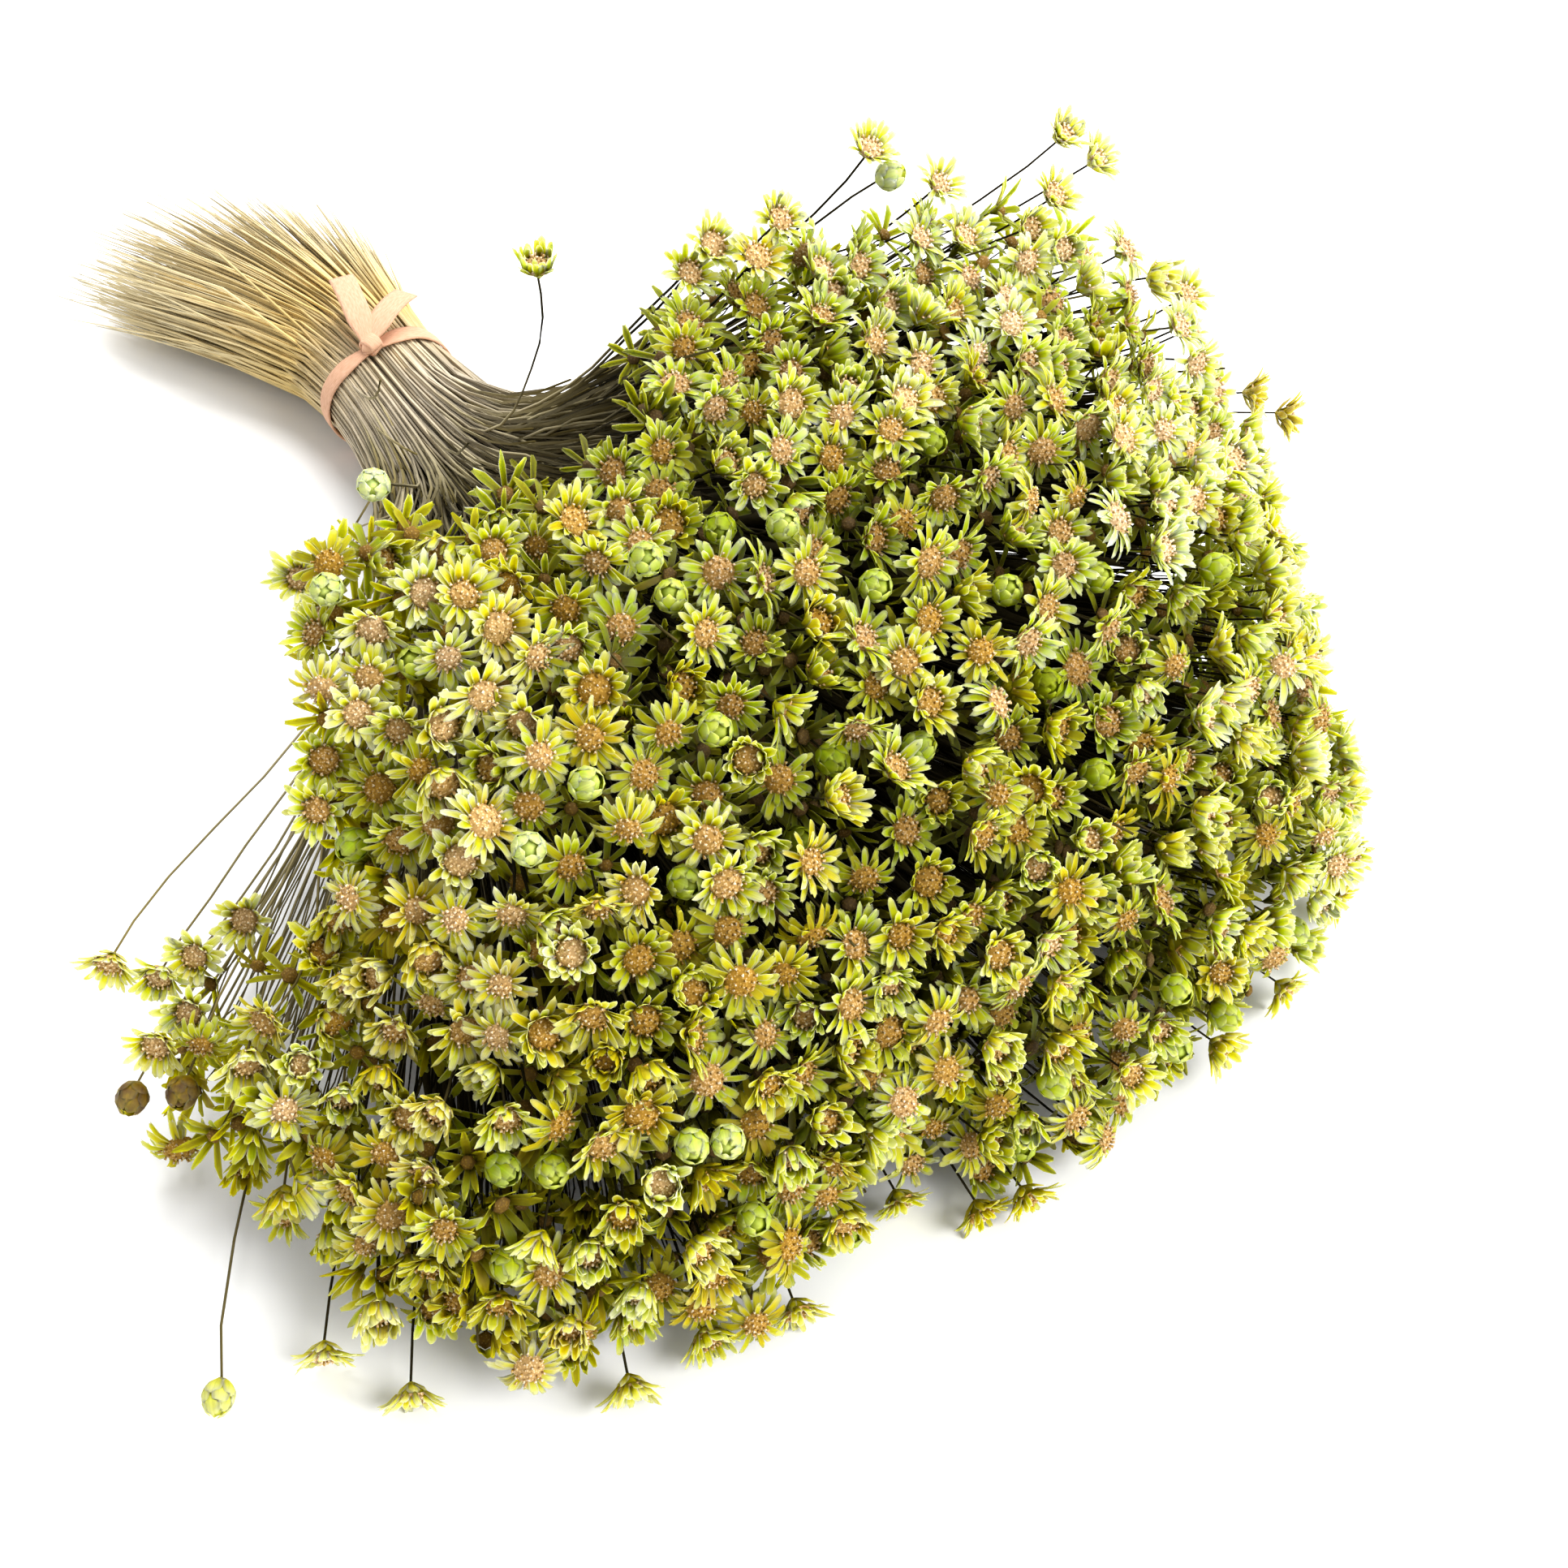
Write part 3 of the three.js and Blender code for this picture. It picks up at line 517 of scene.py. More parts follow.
def dryFloret():
    # the disc's tiny dry florets: brown in the pits between them, partly painted shade, pinkish or,
    # when drier, golden walls, and cream tips, packed as fine round grains; their tone holds
    # painted shade, and the darker it is, the richer the colour
    made, tree, shader, age, along, tone = newMaterial("dryFloret", "age", "along", "tone")
    coords = node(tree, "TexCoord", {}, "Object")
    cells = node(tree, "TexVoronoi", {"Vector": coords, "Scale": 1 / (floret["grain"] * mm)})
    # darker between the grains, partly painted shade
    grain = node(tree, "MapRange", {"Value": cells, **floret["grainShade"]})
    place = node(tree, "Math", {0: along, 1: grain}, operation="ADD")
    dryness = node(tree, "MapRange", {"Value": age, **floret["dryness"]})
    young, old = (node(tree, "ValToRGB", {"Fac": place}, stops=floret[kind])
                  for kind in ("young", "old"))
    body = node(tree, "Mix", {"Factor": dryness, 6: young, 7: old}, **colourMix)
    rich = node(tree, "MapRange", {"Value": tone, **floret["richness"]})
    toned = node(tree, "HueSaturation", {"Color": body, "Saturation": rich, "Value": tone})
    bump = node(tree, "Bump", {"Height": grain, **floret["bump"]})
    feed(tree, shader, {"Base Color": toned, "Normal": bump, **floret["surface"]})
    return made


straw = {
    "colours": ((0.0, "#e8dab2"), (0.28, "#d3b877"), (0.45, "#c6b9a2"), (0.72, "#a69b78"),
                (1.0, "#74673a")),
    "streak": 3.0, "streakLight": span(0.0, 1.0, 0.75, 1.2),
    "surface": {"Roughness": 0.75, "Specular IOR Level": 0.05},
}


def wiryStraw():
    # dry wiry stalk: golden straw at the cut end, grey brown at the tie, darker by the bloom,
    # matt with fine streaks along it; its tone adds painted shade, darkest where hidden in the mass
    made, tree, shader, along, tone = newMaterial("wiryStraw", "along", "tone")
    body = node(tree, "ValToRGB", {"Fac": along}, stops=straw["colours"])
    coords = node(tree, "TexCoord", {}, "Object")
    streaks = node(tree, "TexNoise", {"Vector": coords, "Scale": 1 / (straw["streak"] * mm),
                                      "Detail": 2.0})
    light = node(tree, "MapRange", {"Value": streaks, **straw["streakLight"]})
    # the tone carries painted shade
    light = node(tree, "Math", {0: light, 1: tone}, operation="MULTIPLY")
    toned = node(tree, "HueSaturation", {"Color": body, "Value": light})
    feed(tree, shader, {"Base Color": toned, **straw["surface"]})
    return made


band = {
    "width": 4.0, "thickness": 0.55, "out": 0.7, "waver": 0.5, "knotTurn": 78.0,
    "knotAhead": 2.0, "knotSpread": 0.7, "knotOut": 0.9, "fromKnot": (0.55, 0.45, 0.0, 0.5),
    "endFromKnot": (0.55, 0.45, 0.0, 0.35), "colours": ((0.3, "#cf9c79"), (0.65, "#e4b595")),
    "fibres": 9.0, "fibreRun": 12.0, "bump": {"Strength": 0.35, "Distance": 0.2 * mm},
    "surface": {"Roughness": 0.85},
}


def paperBand():
    # flat twisted-paper ribbon: matt, pale peach, with fine fibres that run along it
    made, tree, shader, along, rim, tone = newMaterial("paperBand", "along", "rim", "tone")
    place = node(tree, "CombineXYZ", {"X": rim, "Y": along})
    fibres = node(tree, "TexNoise", {"Vector": place, "Scale": band["fibres"], "Detail": 4.0})
    body = node(tree, "ValToRGB", {"Fac": fibres}, stops=band["colours"])
    toned = node(tree, "HueSaturation", {"Color": body, "Value": tone})
    bump = node(tree, "Bump", {"Height": fibres, **band["bump"]})
    feed(tree, shader, {"Base Color": toned, "Normal": bump, **band["surface"]})
    return made


# Petals and bracts. Each is a thin closed blade swept out from the head's middle. An outline gives
# the half width at each share of the length.

blade = {
    "thickness": 0.045, "tipStep": 0.07,
    "petal": ((0.0, 0.6), (0.35, 0.85), (0.72, 1.0), (0.93, 0.84), (1.0, 0.42)),
    "plainPetal": ((0.0, 0.78), (0.5, 1.0), (0.87, 0.82), (1.0, 0.36)),
    "farPetal": ((0.0, 0.8), (0.65, 1.0), (1.0, 0.42)),
    "bract": ((0.0, 0.7), (0.55, 1.0), (1.0, 0.35)),
}


def blades(head, kind, angle, startRadius, startRise, length, width, rise, bend, cup, tip, tone,
           age, material):
    # along t the blade climbs at rise + bend * t, so radius and height are the sums of
    # length * cos and length * sin of that; its half width is width times the outline, its four
    # corners are its two edges and the middle of each side, its edges lift by cup * half width, and
    # the middle of its end stands out by tip * tipStep of its length
    t, outline = np.array(blade[kind]).T
    climb = rise[:, None] + bend[:, None] * t
    middle = climb - bend[:, None] * np.diff(t, prepend=0) / 2
    step = length[:, None] * np.diff(t, prepend=0)
    radial = startRadius[:, None] + np.cumsum(step * np.cos(middle), axis=1)
    axial = startRise[:, None] + np.cumsum(step * np.sin(middle), axis=1)
    outward = head["side"] * np.cos(angle)[:, None] + head["over"] * np.sin(angle)[:, None]
    out, facing = outward[:, None], head["facing"][:, None]
    centre = head["end"][:, None] + out * radial[..., None] + facing * axial[..., None]
    ahead = out * np.cos(climb)[..., None] + facing * np.sin(climb)[..., None]
    inward = facing * np.cos(climb)[..., None] - out * np.sin(climb)[..., None]
    half = (width[:, None] * outline)[..., None]
    x = np.array([1.0, 0.0, -1.0, 0.0])
    flat = np.array([0.0, 1.0, 0.0, -1.0])
    lift = cup[:, None, None] * half * (np.abs(x) - 0.5) + blade["thickness"] * flat
    side = np.broadcast_to(np.cross(head["facing"], outward)[:, None], centre.shape)
    edge = head["edge"][:, None, None]
    made = swept(centre, side, inward, half * x, lift, material, t[None, :, None] * edge,
                 np.abs(x) * edge, tone[:, None, None], age[:, None, None])
    shift = (tip * length * blade["tipStep"])[:, None, None, None] * (1 - np.abs(x))[:, None]
    points = made["points"].reshape(len(angle), len(t), len(x), 3)
    points[:, -1:] += ahead[:, -1:, None] * shift
    return made


def each(head, index):
    return {key: value[index] for key, value in head.items()}


def ringed(head, counts):
    # items round each head, as many as its count: the head of each, each one's share of the turn,
    # how many there are in all, and the number of each one's head
    owner = np.repeat(np.arange(len(counts)), counts)
    first = np.repeat(np.cumsum(counts) - counts, counts)
    return each(head, owner), (np.arange(len(owner)) - first) / counts[owner], len(owner), owner


def drawn(rng, count, *ranges):
    # even draws from each of the ranges
    return [rng.uniform(low, high, count) for low, high in ranges]


# Petals have a value for each layer, inner to outer, the counts one more for heads deep inside.
# Climb and bend are in degrees; width, climb and bend change as the bloom opens.
petal = {
    "counts": ((5, 8), (10, 13), (9, 13), (7, 10)), "lift": (-0.2, -0.35, -0.75),
    "openness": (-0.34, -0.16, 0.0), "openSpread": 0.15, "length": (0.62, 0.9, 1.0),
    "lengthMore": 0.35, "halfWidth": (0.4, 0.7), "widening": (1.32, -0.4), "layerTurn": 0.045,
    "turnSpread": 0.13, "climb": (76.0, -50.0), "bend": (4.0, -48.0), "ageSpread": 0.1,
}

disc = {
    "share": 0.41, "range": (0.88, 1.1), "deepShare": 0.55, "petalStart": (0.98, -0.2),
    "dome": 0.42, "sunk": 0.25, "foot": -0.6,
    "cone": ((-2.25, 0.0, 0.28), (-1.3, 0.55, 0.0), (-0.3, 0.92, 0.0)),
}

# Short bracts behind each bloom.
bract = {
    "count": 4, "turn": 0.4, "radius": 0.35, "rise": -2.0, "length": (2.2, 3.0),
    "halfWidth": (0.7, 0.95), "cup": 0.5, "tone": 0.92, "older": 0.12,
}


def openBlooms(head, rng, paperMat, floretMat, fine):
    # a domed disc on a cone, with petals round it; fine heads have three layers of petals, the
    # innermost short and upright, short bracts behind and single florets
    count = len(head["end"])
    radius = (head["size"] * disc["share"] * rng.uniform(*disc["range"], count)
              * (1 if fine else disc["deepShare"]))
    parts = []
    for layer in ((0, 1, 2) if fine else (2,)):
        own, share, total, owner = ringed(
            head, rng.integers(*petal["counts"][layer if fine else 3], count))
        openness = (own["open"] + rng.normal(0, petal["openSpread"], total)
                    + petal["openness"][layer])
        start = radius[owner] * line(disc["petalStart"], np.clip(openness, 0, 1))
        angle = (2 * np.pi * (share + petal["layerTurn"] * layer) + own["turn"]
                 + rng.normal(0, petal["turnSpread"], total))
        long, wide, cup, tip, tone = drawn(rng, total, (0.72, 1.16), petal["halfWidth"],
                                           (0.15, 0.7), (-1.3, 1.6), (0.78, 1.12))
        parts.append(blades(
            own, "plainPetal" if fine and layer else "farPetal", angle, start,
            np.full(total, petal["lift"][layer]),
            (own["size"] - start) * petal["length"][layer] * long + petal["lengthMore"],
            wide * own["size"] / spread["straySize"]
            * line(petal["widening"], np.clip(own["open"], 0, 1)),
            np.radians(line(petal["climb"], openness)), np.radians(line(petal["bend"], openness)),
            cup, tip, own["tone"] * tone,
            np.clip(own["age"] + rng.normal(0, petal["ageSpread"], total), 0, 1), paperMat))
    parts.append(dome(head, radius, floretMat, sides=8 if fine else 6))
    parts.append(cone(head, radius, paperMat, sides=6 if fine else 5))
    if fine:
        parts.append(studs(head, radius, rng, floretMat))
        own, share, total, _ = ringed(head, np.full(count, bract["count"]))
        long, wide, climb, bend, tip = drawn(rng, total, bract["length"], bract["halfWidth"],
                                             (18, 30), (15, 40), (0.5, 2))
        parts.append(blades(
            own, "bract", 2 * np.pi * share + own["turn"] + bract["turn"],
            np.full(total, bract["radius"]), np.full(total, bract["rise"]), long, wide,
            np.radians(climb), np.radians(bend), np.full(total, bract["cup"]), tip,
            own["tone"] * bract["tone"], np.clip(own["age"] + bract["older"], 0, 1), paperMat))
    return parts


def tubes(centre, side, over, radius, sides, *readings):
    # round tubes of the radius given at each station of centre
    phi = 2 * np.pi * np.arange(sides) / sides
    return swept(centre, side, over, radius[..., None] * np.cos(phi),
                 radius[..., None] * np.sin(phi), *readings)


def turned(head, rise, radius, sides, material, along, rim, shade):
    # a form turned on the head's axis: a ring of the given radius at each rise
    centre = head["end"][:, None] + head["facing"][:, None] * rise[..., None]
    side, over = (np.broadcast_to(head[key][:, None], centre.shape) for key in ("side", "over"))
    return tubes(centre, side, over, radius, sides, material, along, rim,
                 shade * head["tone"][:, None, None], head["age"][:, None, None])


def cone(head, discRadius, material, sides):
    # the receptacle: a cone from the neck up under the disc; each ring's radius is its share of the
    # disc's and a rest
    rise, share, rest = np.array(disc["cone"]).T
    return turned(head, np.broadcast_to(rise, (len(discRadius), 3)),
                  discRadius[:, None] * share + rest, sides, material, along=0.2, rim=0.5,
                  shade=0.75)


def dome(head, discRadius, material, sides):
    # the dome falls off as 1 - (r / disc)^2
    shares = np.array([1.0, 0.95, 0.65, 0.15])
    rise = (discRadius * disc["dome"])[:, None] * (1 - shares ** 2) - disc["sunk"]
    rise[:, 0] = disc["foot"]
    return turned(head, rise, discRadius[:, None] * shares, sides, material, along=0.45, rim=0.0,
                  shade=1.0)


florets = {
    "count": 21, "length": 0.6, "foot": 0.16, "top": 0.27, "sunk": 0.28, "lean": 0.95,
    "leanSpread": 0.28, "spiral": 137.508,
}


def studs(head, discRadius, rng, material):
    # florets that stand on the dome along a golden spiral, each a little prism that widens upwards
    n = florets["count"]
    own, share, total, owner = ringed(head, np.full(len(discRadius), n))
    out = np.sqrt(share + 0.5 / n) * rng.uniform(0.97, 1.05, total)
    turn = share * n * np.radians(florets["spiral"]) + own["turn"]
    radial = own["side"] * np.cos(turn)[:, None] + own["over"] * np.sin(turn)[:, None]
    height = discRadius[owner] * disc["dome"] * (1 - out ** 2) - florets["sunk"]
    foot = (own["end"] + radial * (discRadius[owner] * out)[:, None]
            + own["facing"] * height[:, None])
    up = unit(own["facing"] + radial * (florets["lean"] * out)[:, None]
              + rng.normal(0, florets["leanSpread"], (total, 3)))
    long, ring, top, tone = drawn(rng, total, (0.75, 1.2), (0, 2), (0.7, 1.15), (0.75, 1.2))
    long *= florets["length"]
    centre = foot[:, None] + up[:, None] * (long[:, None] * np.array([-0.1, 1.0]))[..., None]
    a, b = crossAxes(up)
    ring = (np.radians([0, 120, 240]) + ring[:, None])[:, None]
    radius = np.stack([np.full(total, florets["foot"]), florets["top"] * top], axis=1)[..., None]
    return swept(centre, np.repeat(a[:, None], 2, 1), np.repeat(b[:, None], 2, 1),
                 radius * np.cos(ring), radius * np.sin(ring), material,
                 np.array([0.35, 0.85])[None, :, None], 0.0, (own["tone"] * tone)[:, None, None],
                 own["age"][:, None, None])


bud = {
    "foot": -2.4, "height": 5.1, "radius": 2.05, "layers": 3, "bracts": 5, "length": (3.1, 1.35),
    "turn": (0.1, 0.3), "bractFoot": -2.2, "footRadius": (0.55, -0.12), "halfWidth": 1.25,
    "climb": 24.0, "bend": 20.5, "cup": 0.3,
}


def buds(head, rng, paperMat):
    # an egg of radius * sin(pi * t^0.85)^0.8, wrapped in rounds of broad bracts that climb its side
    # and close over the top
    count = len(head["end"])
    t = np.linspace(0.03, 0.97, 7)
    rise = np.broadcast_to(bud["foot"] + bud["height"] * t, (count, 7))
    radius = np.broadcast_to(bud["radius"] * np.sin(np.pi * t ** 0.85) ** 0.8, (count, 7))
    parts = [turned(head, rise, radius, 8, paperMat, along=0.3 + 0.5 * t[None, :, None], rim=0.55,
                    shade=0.8)]
    for layer in range(bud["layers"]):
        own, share, total, _ = ringed(head, np.full(count, bud["bracts"]))
        long, wide, tip, tone = drawn(rng, total, (0.93, 1.07), (0.9, 1.1), (0, 1.5), (0.86, 1))
        length = line(bud["length"], layer) * long
        parts.append(blades(
            own, "petal", 2 * np.pi * (share + line(bud["turn"], layer)) + own["turn"],
            np.full(total, line(bud["footRadius"], layer)), np.full(total, bud["bractFoot"]),
            length, bud["halfWidth"] * wide, np.full(total, np.radians(bud["climb"])),
            np.radians(bud["bend"]) * length, np.full(total, bud["cup"]), tip,
            own["tone"] * tone, own["age"], paperMat))
    return parts


# Stems. Each runs from its cut end through the tie to its bloom.

# Painted shade darkens the backing heads' stems, and every stem where it is hidden in the mass.
stem = {
    "cutStations": 6, "cutTaper": 1.25, "cutSway": (0.3, 1.6, 1.0), "freeStations": 10,
    "backingStations": 7, "backingRadius": 0.7, "backingShade": 0.6, "cutRadius": 0.32,
    "tieRadius": 0.34, "neckRadius": 0.19, "leave": 0.8, "arrive": 0.4, "arriveMost": 38.0,
    "wiggle": 0.9, "waves": (1.2, 3.2), "tone": (0.75, 1.15), "tiePlace": 0.4, "massShadeMost": 0.9,
    "tipThickens": (0.2, 0.8, 0, 0.5),
}


def pathOf(pointAt, u, v, s):
    # the points at the places s along the stem of each (u, v)
    return pointAt(u[:, None] + 0 * s, v[:, None] + 0 * s, s)


def tubesAlong(path, radius, sides, material, along, tone):
    # a round tube along each path: rings square to the path, each of the radius given
    return tubes(path, *crossAxes(unit(np.gradient(path, axis=1))), radius, sides, material,
                 along[..., None], 0.5, tone[..., None], 0.0)


def placesIn(column, row, margin, count, rng):
    # even draws of (u, v) in one cell, in from its edges by the margin
    return [2 * (cell + rng.uniform(margin, 1 - margin, count)) / spread[side] - 1
            for cell, side in ((column, "columns"), (row, "rows"))]


def cutLengths(u, rng):
    # the longest are in the middle of the fan: cutReach * draw^0.7 * (1 - 0.3u^2 - 0.1u)
    return (bundle["cutReach"] * rng.uniform(0.5, 1.0, len(u)) ** 0.7
            * (1 - 0.3 * u * u - 0.1 * u))


def cutPath(u, v, far, rng):
    # from the cut tip to just behind the tie, each swaying a little more towards its tip
    t = np.linspace(0, 1, stem["cutStations"])
    s = -far[:, None] * (1 - t) ** stem["cutTaper"]
    sway = rng.normal(0, 1, (len(u), 3)) * stem["cutSway"]
    return pathOf(stemPoint, u, v, s) + sway[:, None] * ((1 - t) ** 2)[None, :, None], s


def strawRadius(s, far, length):
    # thin at the cut tip, thickest behind the tie, thinning steadily to the neck
    back = stem["cutRadius"] * sloped(stem["tipThickens"], 1 + s / far[:, None])
    ahead = (stem["tieRadius"]
             + (stem["neckRadius"] - stem["tieRadius"]) * np.clip(s / length[:, None], 0, 1))
    return np.where(s < 0, back, ahead)


def strawPlace(s, far, length):
    # 0 at the cut tip, tiePlace at the tie, 1 at the bloom
    tie = stem["tiePlace"]
    return np.where(s < 0, tie * (1 + s / far[:, None]),
                    tie + (1 - tie) * ease(0, 1, s / length[:, None]))


def shadeInMass(u, share):
    # painted shade: 1 where a stem is in the open, at the left edge or near the tie, and darker
    # where it is hidden in the mass
    return 1 - stem["massShadeMost"] * ease(-0.88, -0.7, u)[:, None] * ease(0.55, 0.8, share)


def stems(head, rng, material, whole=True):
    # whole stems run from the cut end; the others start at the tie. From the strand's front to the
    # neck the path is a cubic, (2t^3 - 3t^2 + 1) root + (t^3 - 2t^2 + t) leave
    # + (3t^2 - 2t^3) neck + (t^3 - t^2) arrive, with a sine wave across it each way, and a bow
    count = len(head["end"])
    u, v, root, neck = (head[key] for key in ("u", "v", "root", "neck"))
    far = cutLengths(u, rng)
    back, sBack = cutPath(u, v, far, rng)
    sMid = np.linspace(0, spread["root"], 5)[None, 1:-1] + np.zeros((count, 1))
    last = np.full(count, spread["root"])
    front = packedPoint(u, v, last)
    mid = (pathOf(packedPoint, u, v, sMid)
           + (root - front)[:, None] * (sMid / spread["root"])[..., None])
    t = np.linspace(0, 1, stem["freeStations" if whole else "backingStations"])[None, :, None]
    run = np.linalg.norm(neck - root, axis=1)[:, None]
    leave = (front - packedPoint(u, v, last - 1)) * run * stem["leave"]
    arrive = head["facing"] * np.minimum(run * stem["arrive"], stem["arriveMost"])
    free = ((2 * t ** 3 - 3 * t ** 2 + 1) * root[:, None]
            + (t ** 3 - 2 * t ** 2 + t) * leave[:, None]
            + (3 * t ** 2 - 2 * t ** 3) * neck[:, None]
            + (t ** 3 - t ** 2) * arrive[:, None])
    a, b = crossAxes(unit(neck - root))
    window = np.sin(np.pi * t[..., 0]) ** 1.2
    for axis in (a, b):
        waves, phase = rng.uniform(*stem["waves"], (count, 1)), rng.uniform(0, 6.28, (count, 1))
        wave = head["wiggle"][:, None] * window * np.sin(2 * np.pi * waves * t[..., 0] + phase)
        free += axis[:, None] * wave[..., None]
    free += a[:, None] * (head["bow"][:, None] * window)[..., None]
    path = np.concatenate([back, mid, free] if whole else [mid, free], axis=1)
    ahead = [sMid, spread["root"] + run * t[..., 0]]
    s = np.concatenate([sBack] + ahead if whole else ahead, axis=1)
    radius = strawRadius(s, far, head["length"]) * (1.0 if whole else stem["backingRadius"])
    # painted shade: darker for the backing heads, and where hidden in the mass
    tone = (rng.uniform(*stem["tone"], (count, 1)) * (1.0 if whole else stem["backingShade"])
            * shadeInMass(u, s / head["length"][:, None]))
    return [tubesAlong(path, radius, 4 if whole else 3, material,
                       strawPlace(s, far, head["length"]), tone)]


# The bundle's other straws: shares of the stem's reach, and how far their ends stray.
filler = {
    "count": 36, "reach": (0.5, 0.93), "outShare": 0.08, "outReach": 0.99, "outTone": 0.5,
    "firstColumn": 0.5, "unpack": (30, 110), "stray": 1.6, "farStray": 6.0, "farShare": 0.12,
    "radius": 1.15, "tone": (0.7, 1.15),
}


def fillers(column, row, rng, material):
    # they fill the bundle at the tie and end among the stems, a few of them up between the heads
    n = filler["count"]
    u, v = placesIn(column, row, 0.02, n, rng)
    far = cutLengths(u, rng)
    out = rng.uniform(0, 1, n) < filler["outShare"]
    ahead = (np.where(out, filler["outReach"], rng.uniform(*filler["reach"], n)) * reach(u, v)
             * (filler["firstColumn"] if column == 0 else 1.0))
    s = np.concatenate([-far[:, None] * np.array([1.0, 0.6, 0.25]),
                        ahead[:, None] * np.linspace(0, 1, 7)], axis=1)
    loose = pathOf(stemPoint, u, v, s)
    packed = np.where((s < 0)[..., None], loose, pathOf(packedPoint, u, v, np.abs(s)))
    share = ease(*filler["unpack"], s)[..., None]
    path = packed * (1 - share) + loose * share
    stray = np.where(rng.uniform(0, 1, (n, 1)) < filler["farShare"], filler["farStray"],
                     filler["stray"])
    path += ((rng.normal(0, 1, (n, 3)) * stray)[:, None]
             * (np.clip(np.abs(s) / ahead[:, None], 0, 1) ** 2)[..., None])
    radius = strawRadius(s, far, ahead) * filler["radius"]
    # painted shade where hidden in the mass; those up between the heads keep one flat darker tone
    tone = (rng.uniform(*filler["tone"], (n, 1))
            * np.where(out[:, None], filler["outTone"], shadeInMass(u, s / reach(u, v)[:, None])))
    return [tubesAlong(path, radius, 3, material, strawPlace(s, far, ahead), tone)]


# Thick dark stalks that stand in for the deep shade of the mass; their tone is painted shade.
shadeStalk = {
    "count": (10, 2), "from": 0.55, "to": (0.84, 0.93), "sway": 0.7, "radius": 1.5,
    "tone": (0.1, 0.25),
}


def shadeStalks(column, row, rng, material):
    # thick stalks in the heart of the mass, short of the heads, that stand in for its deep shade:
    # they block light, and their dark tone is painted shade
    n = line(shadeStalk["count"], column)
    u, v = placesIn(column, row, 0.1, n, rng)
    s = np.linspace(shadeStalk["from"], rng.uniform(*shadeStalk["to"], n), 7).T * reach(u, v)[:, None]
    path = pathOf(stemPoint, u, v, s)
    path[:, 1:] += rng.normal(0, shadeStalk["sway"], (n, 6, 3))
    radius = shadeStalk["radius"] * np.array([0.15, 0.7, 1.0, 1.0, 0.9, 0.6, 0.2]) + 0 * s
    return tubesAlong(path, radius, 5, material, np.linspace(0.85, 1.0, 7) + 0 * s,
                      rng.uniform(*shadeStalk["tone"], (n, 1)) + 0 * s)


# The tie: one flat band round the waist, its knot, and two free ends.

def ribbon(path, width, thickness, face, material):
    # a flat rounded section, (cos^0.35, sin^0.6) of each corner's angle, carried along a path with
    # its broad side turned to face
    sides = 8
    ahead = unit(np.gradient(path, axis=0))
    up = unit(face - ahead * (face * ahead).sum(-1, keepdims=True))
    side = np.cross(up, ahead)
    phi = 2 * np.pi * (np.arange(sides) + 0.5) / sides
    x = np.sign(np.cos(phi)) * np.abs(np.cos(phi)) ** 0.35
    y = np.sign(np.sin(phi)) * np.abs(np.sin(phi)) ** 0.6
    walked = np.concatenate([[0], np.cumsum(np.linalg.norm(np.diff(path, axis=0), axis=1))])
    return swept(path[None], side[None], up[None], (width[:, None] * x / 2)[None],
                 (thickness * y / 2)[None] + 0 * width[None, :, None], material,
                 (walked / band["fibreRun"])[None, :, None], x[None, None, :], 1.0, 0.0)


def tieBand(material):
    # an oval round the waist that wavers by a sine and, at the knot, steps ahead by a bell curve
    x, y, z = bundle["tie"]
    turn = np.radians(np.linspace(band["knotTurn"], band["knotTurn"] + 360, 97))
    out = band["out"]
    fromKnot = np.minimum(turn - turn[0], turn[-1] - turn)
    ring = np.stack([x + band["waver"] * np.sin(2 * turn)
                     + band["knotAhead"] * np.exp(-(fromKnot / band["knotSpread"]) ** 2),
                     y - (bundle["halfWidth"] + out) * np.cos(turn),
                     z + (bundle["halfHeight"] + out) * np.sin(turn)], axis=1)
    face = np.stack([0 * turn, -np.cos(turn), np.sin(turn)], axis=1)
    width = band["width"] * sloped(band["fromKnot"], fromKnot)
    return [ribbon(ring, width, band["thickness"], face, material),
            *knotOf(ring[0] + face[0] * band["knotOut"], face[0], material)]


def knotOf(at, face, material):
    # the knot is two short rolls round the band, each with its tilt and size, and two flat ends
    # that leave it in a V, each with its yaw, rise and length
    long, high, aside, rollWidth, rollThickness = 1.9, 1.35, 0.5, 3.0, 0.7
    arch, droop, endWidth, endOut = 1.6, 1.2, 5.1, 0.6
    parts = []
    t = np.linspace(0, 1, 25)
    roll = 2 * np.pi * t
    across = unit(np.cross(face, [1.0, 0, 0]))
    for tilt, size in ((0.5, 1.0), (-0.6, 0.86)):
        lengthways = unit(np.array([1.0, 0, 0]) + across * tilt)
        path = (at + lengthways * (long * size * np.cos(roll))[:, None]
                + face * (high * size * np.sin(roll))[:, None]
                + across * (aside * np.sin(roll / 2))[:, None])
        outward = lengthways * np.cos(roll)[:, None] + face * np.sin(roll)[:, None]
        parts.append(ribbon(path, np.full(25, rollWidth * size), rollThickness, outward, material))
    for yaw, rise, length in ((172, 16, 17.0), (124, 10, 14.5)):
        way = directionOf(np.array(yaw), np.array(rise))
        up = unit(np.cross(way, np.cross([0, 0, 1.0], way)))
        path = (at + face * endOut + way * (length * t)[:, None]
                + up * (arch * np.sin(np.pi * t * 0.9) - droop * t ** 2)[:, None])
        parts.append(ribbon(path, endWidth * sloped(band["endFromKnot"], t), band["thickness"],
                            np.broadcast_to(up, path.shape), material))
    return parts


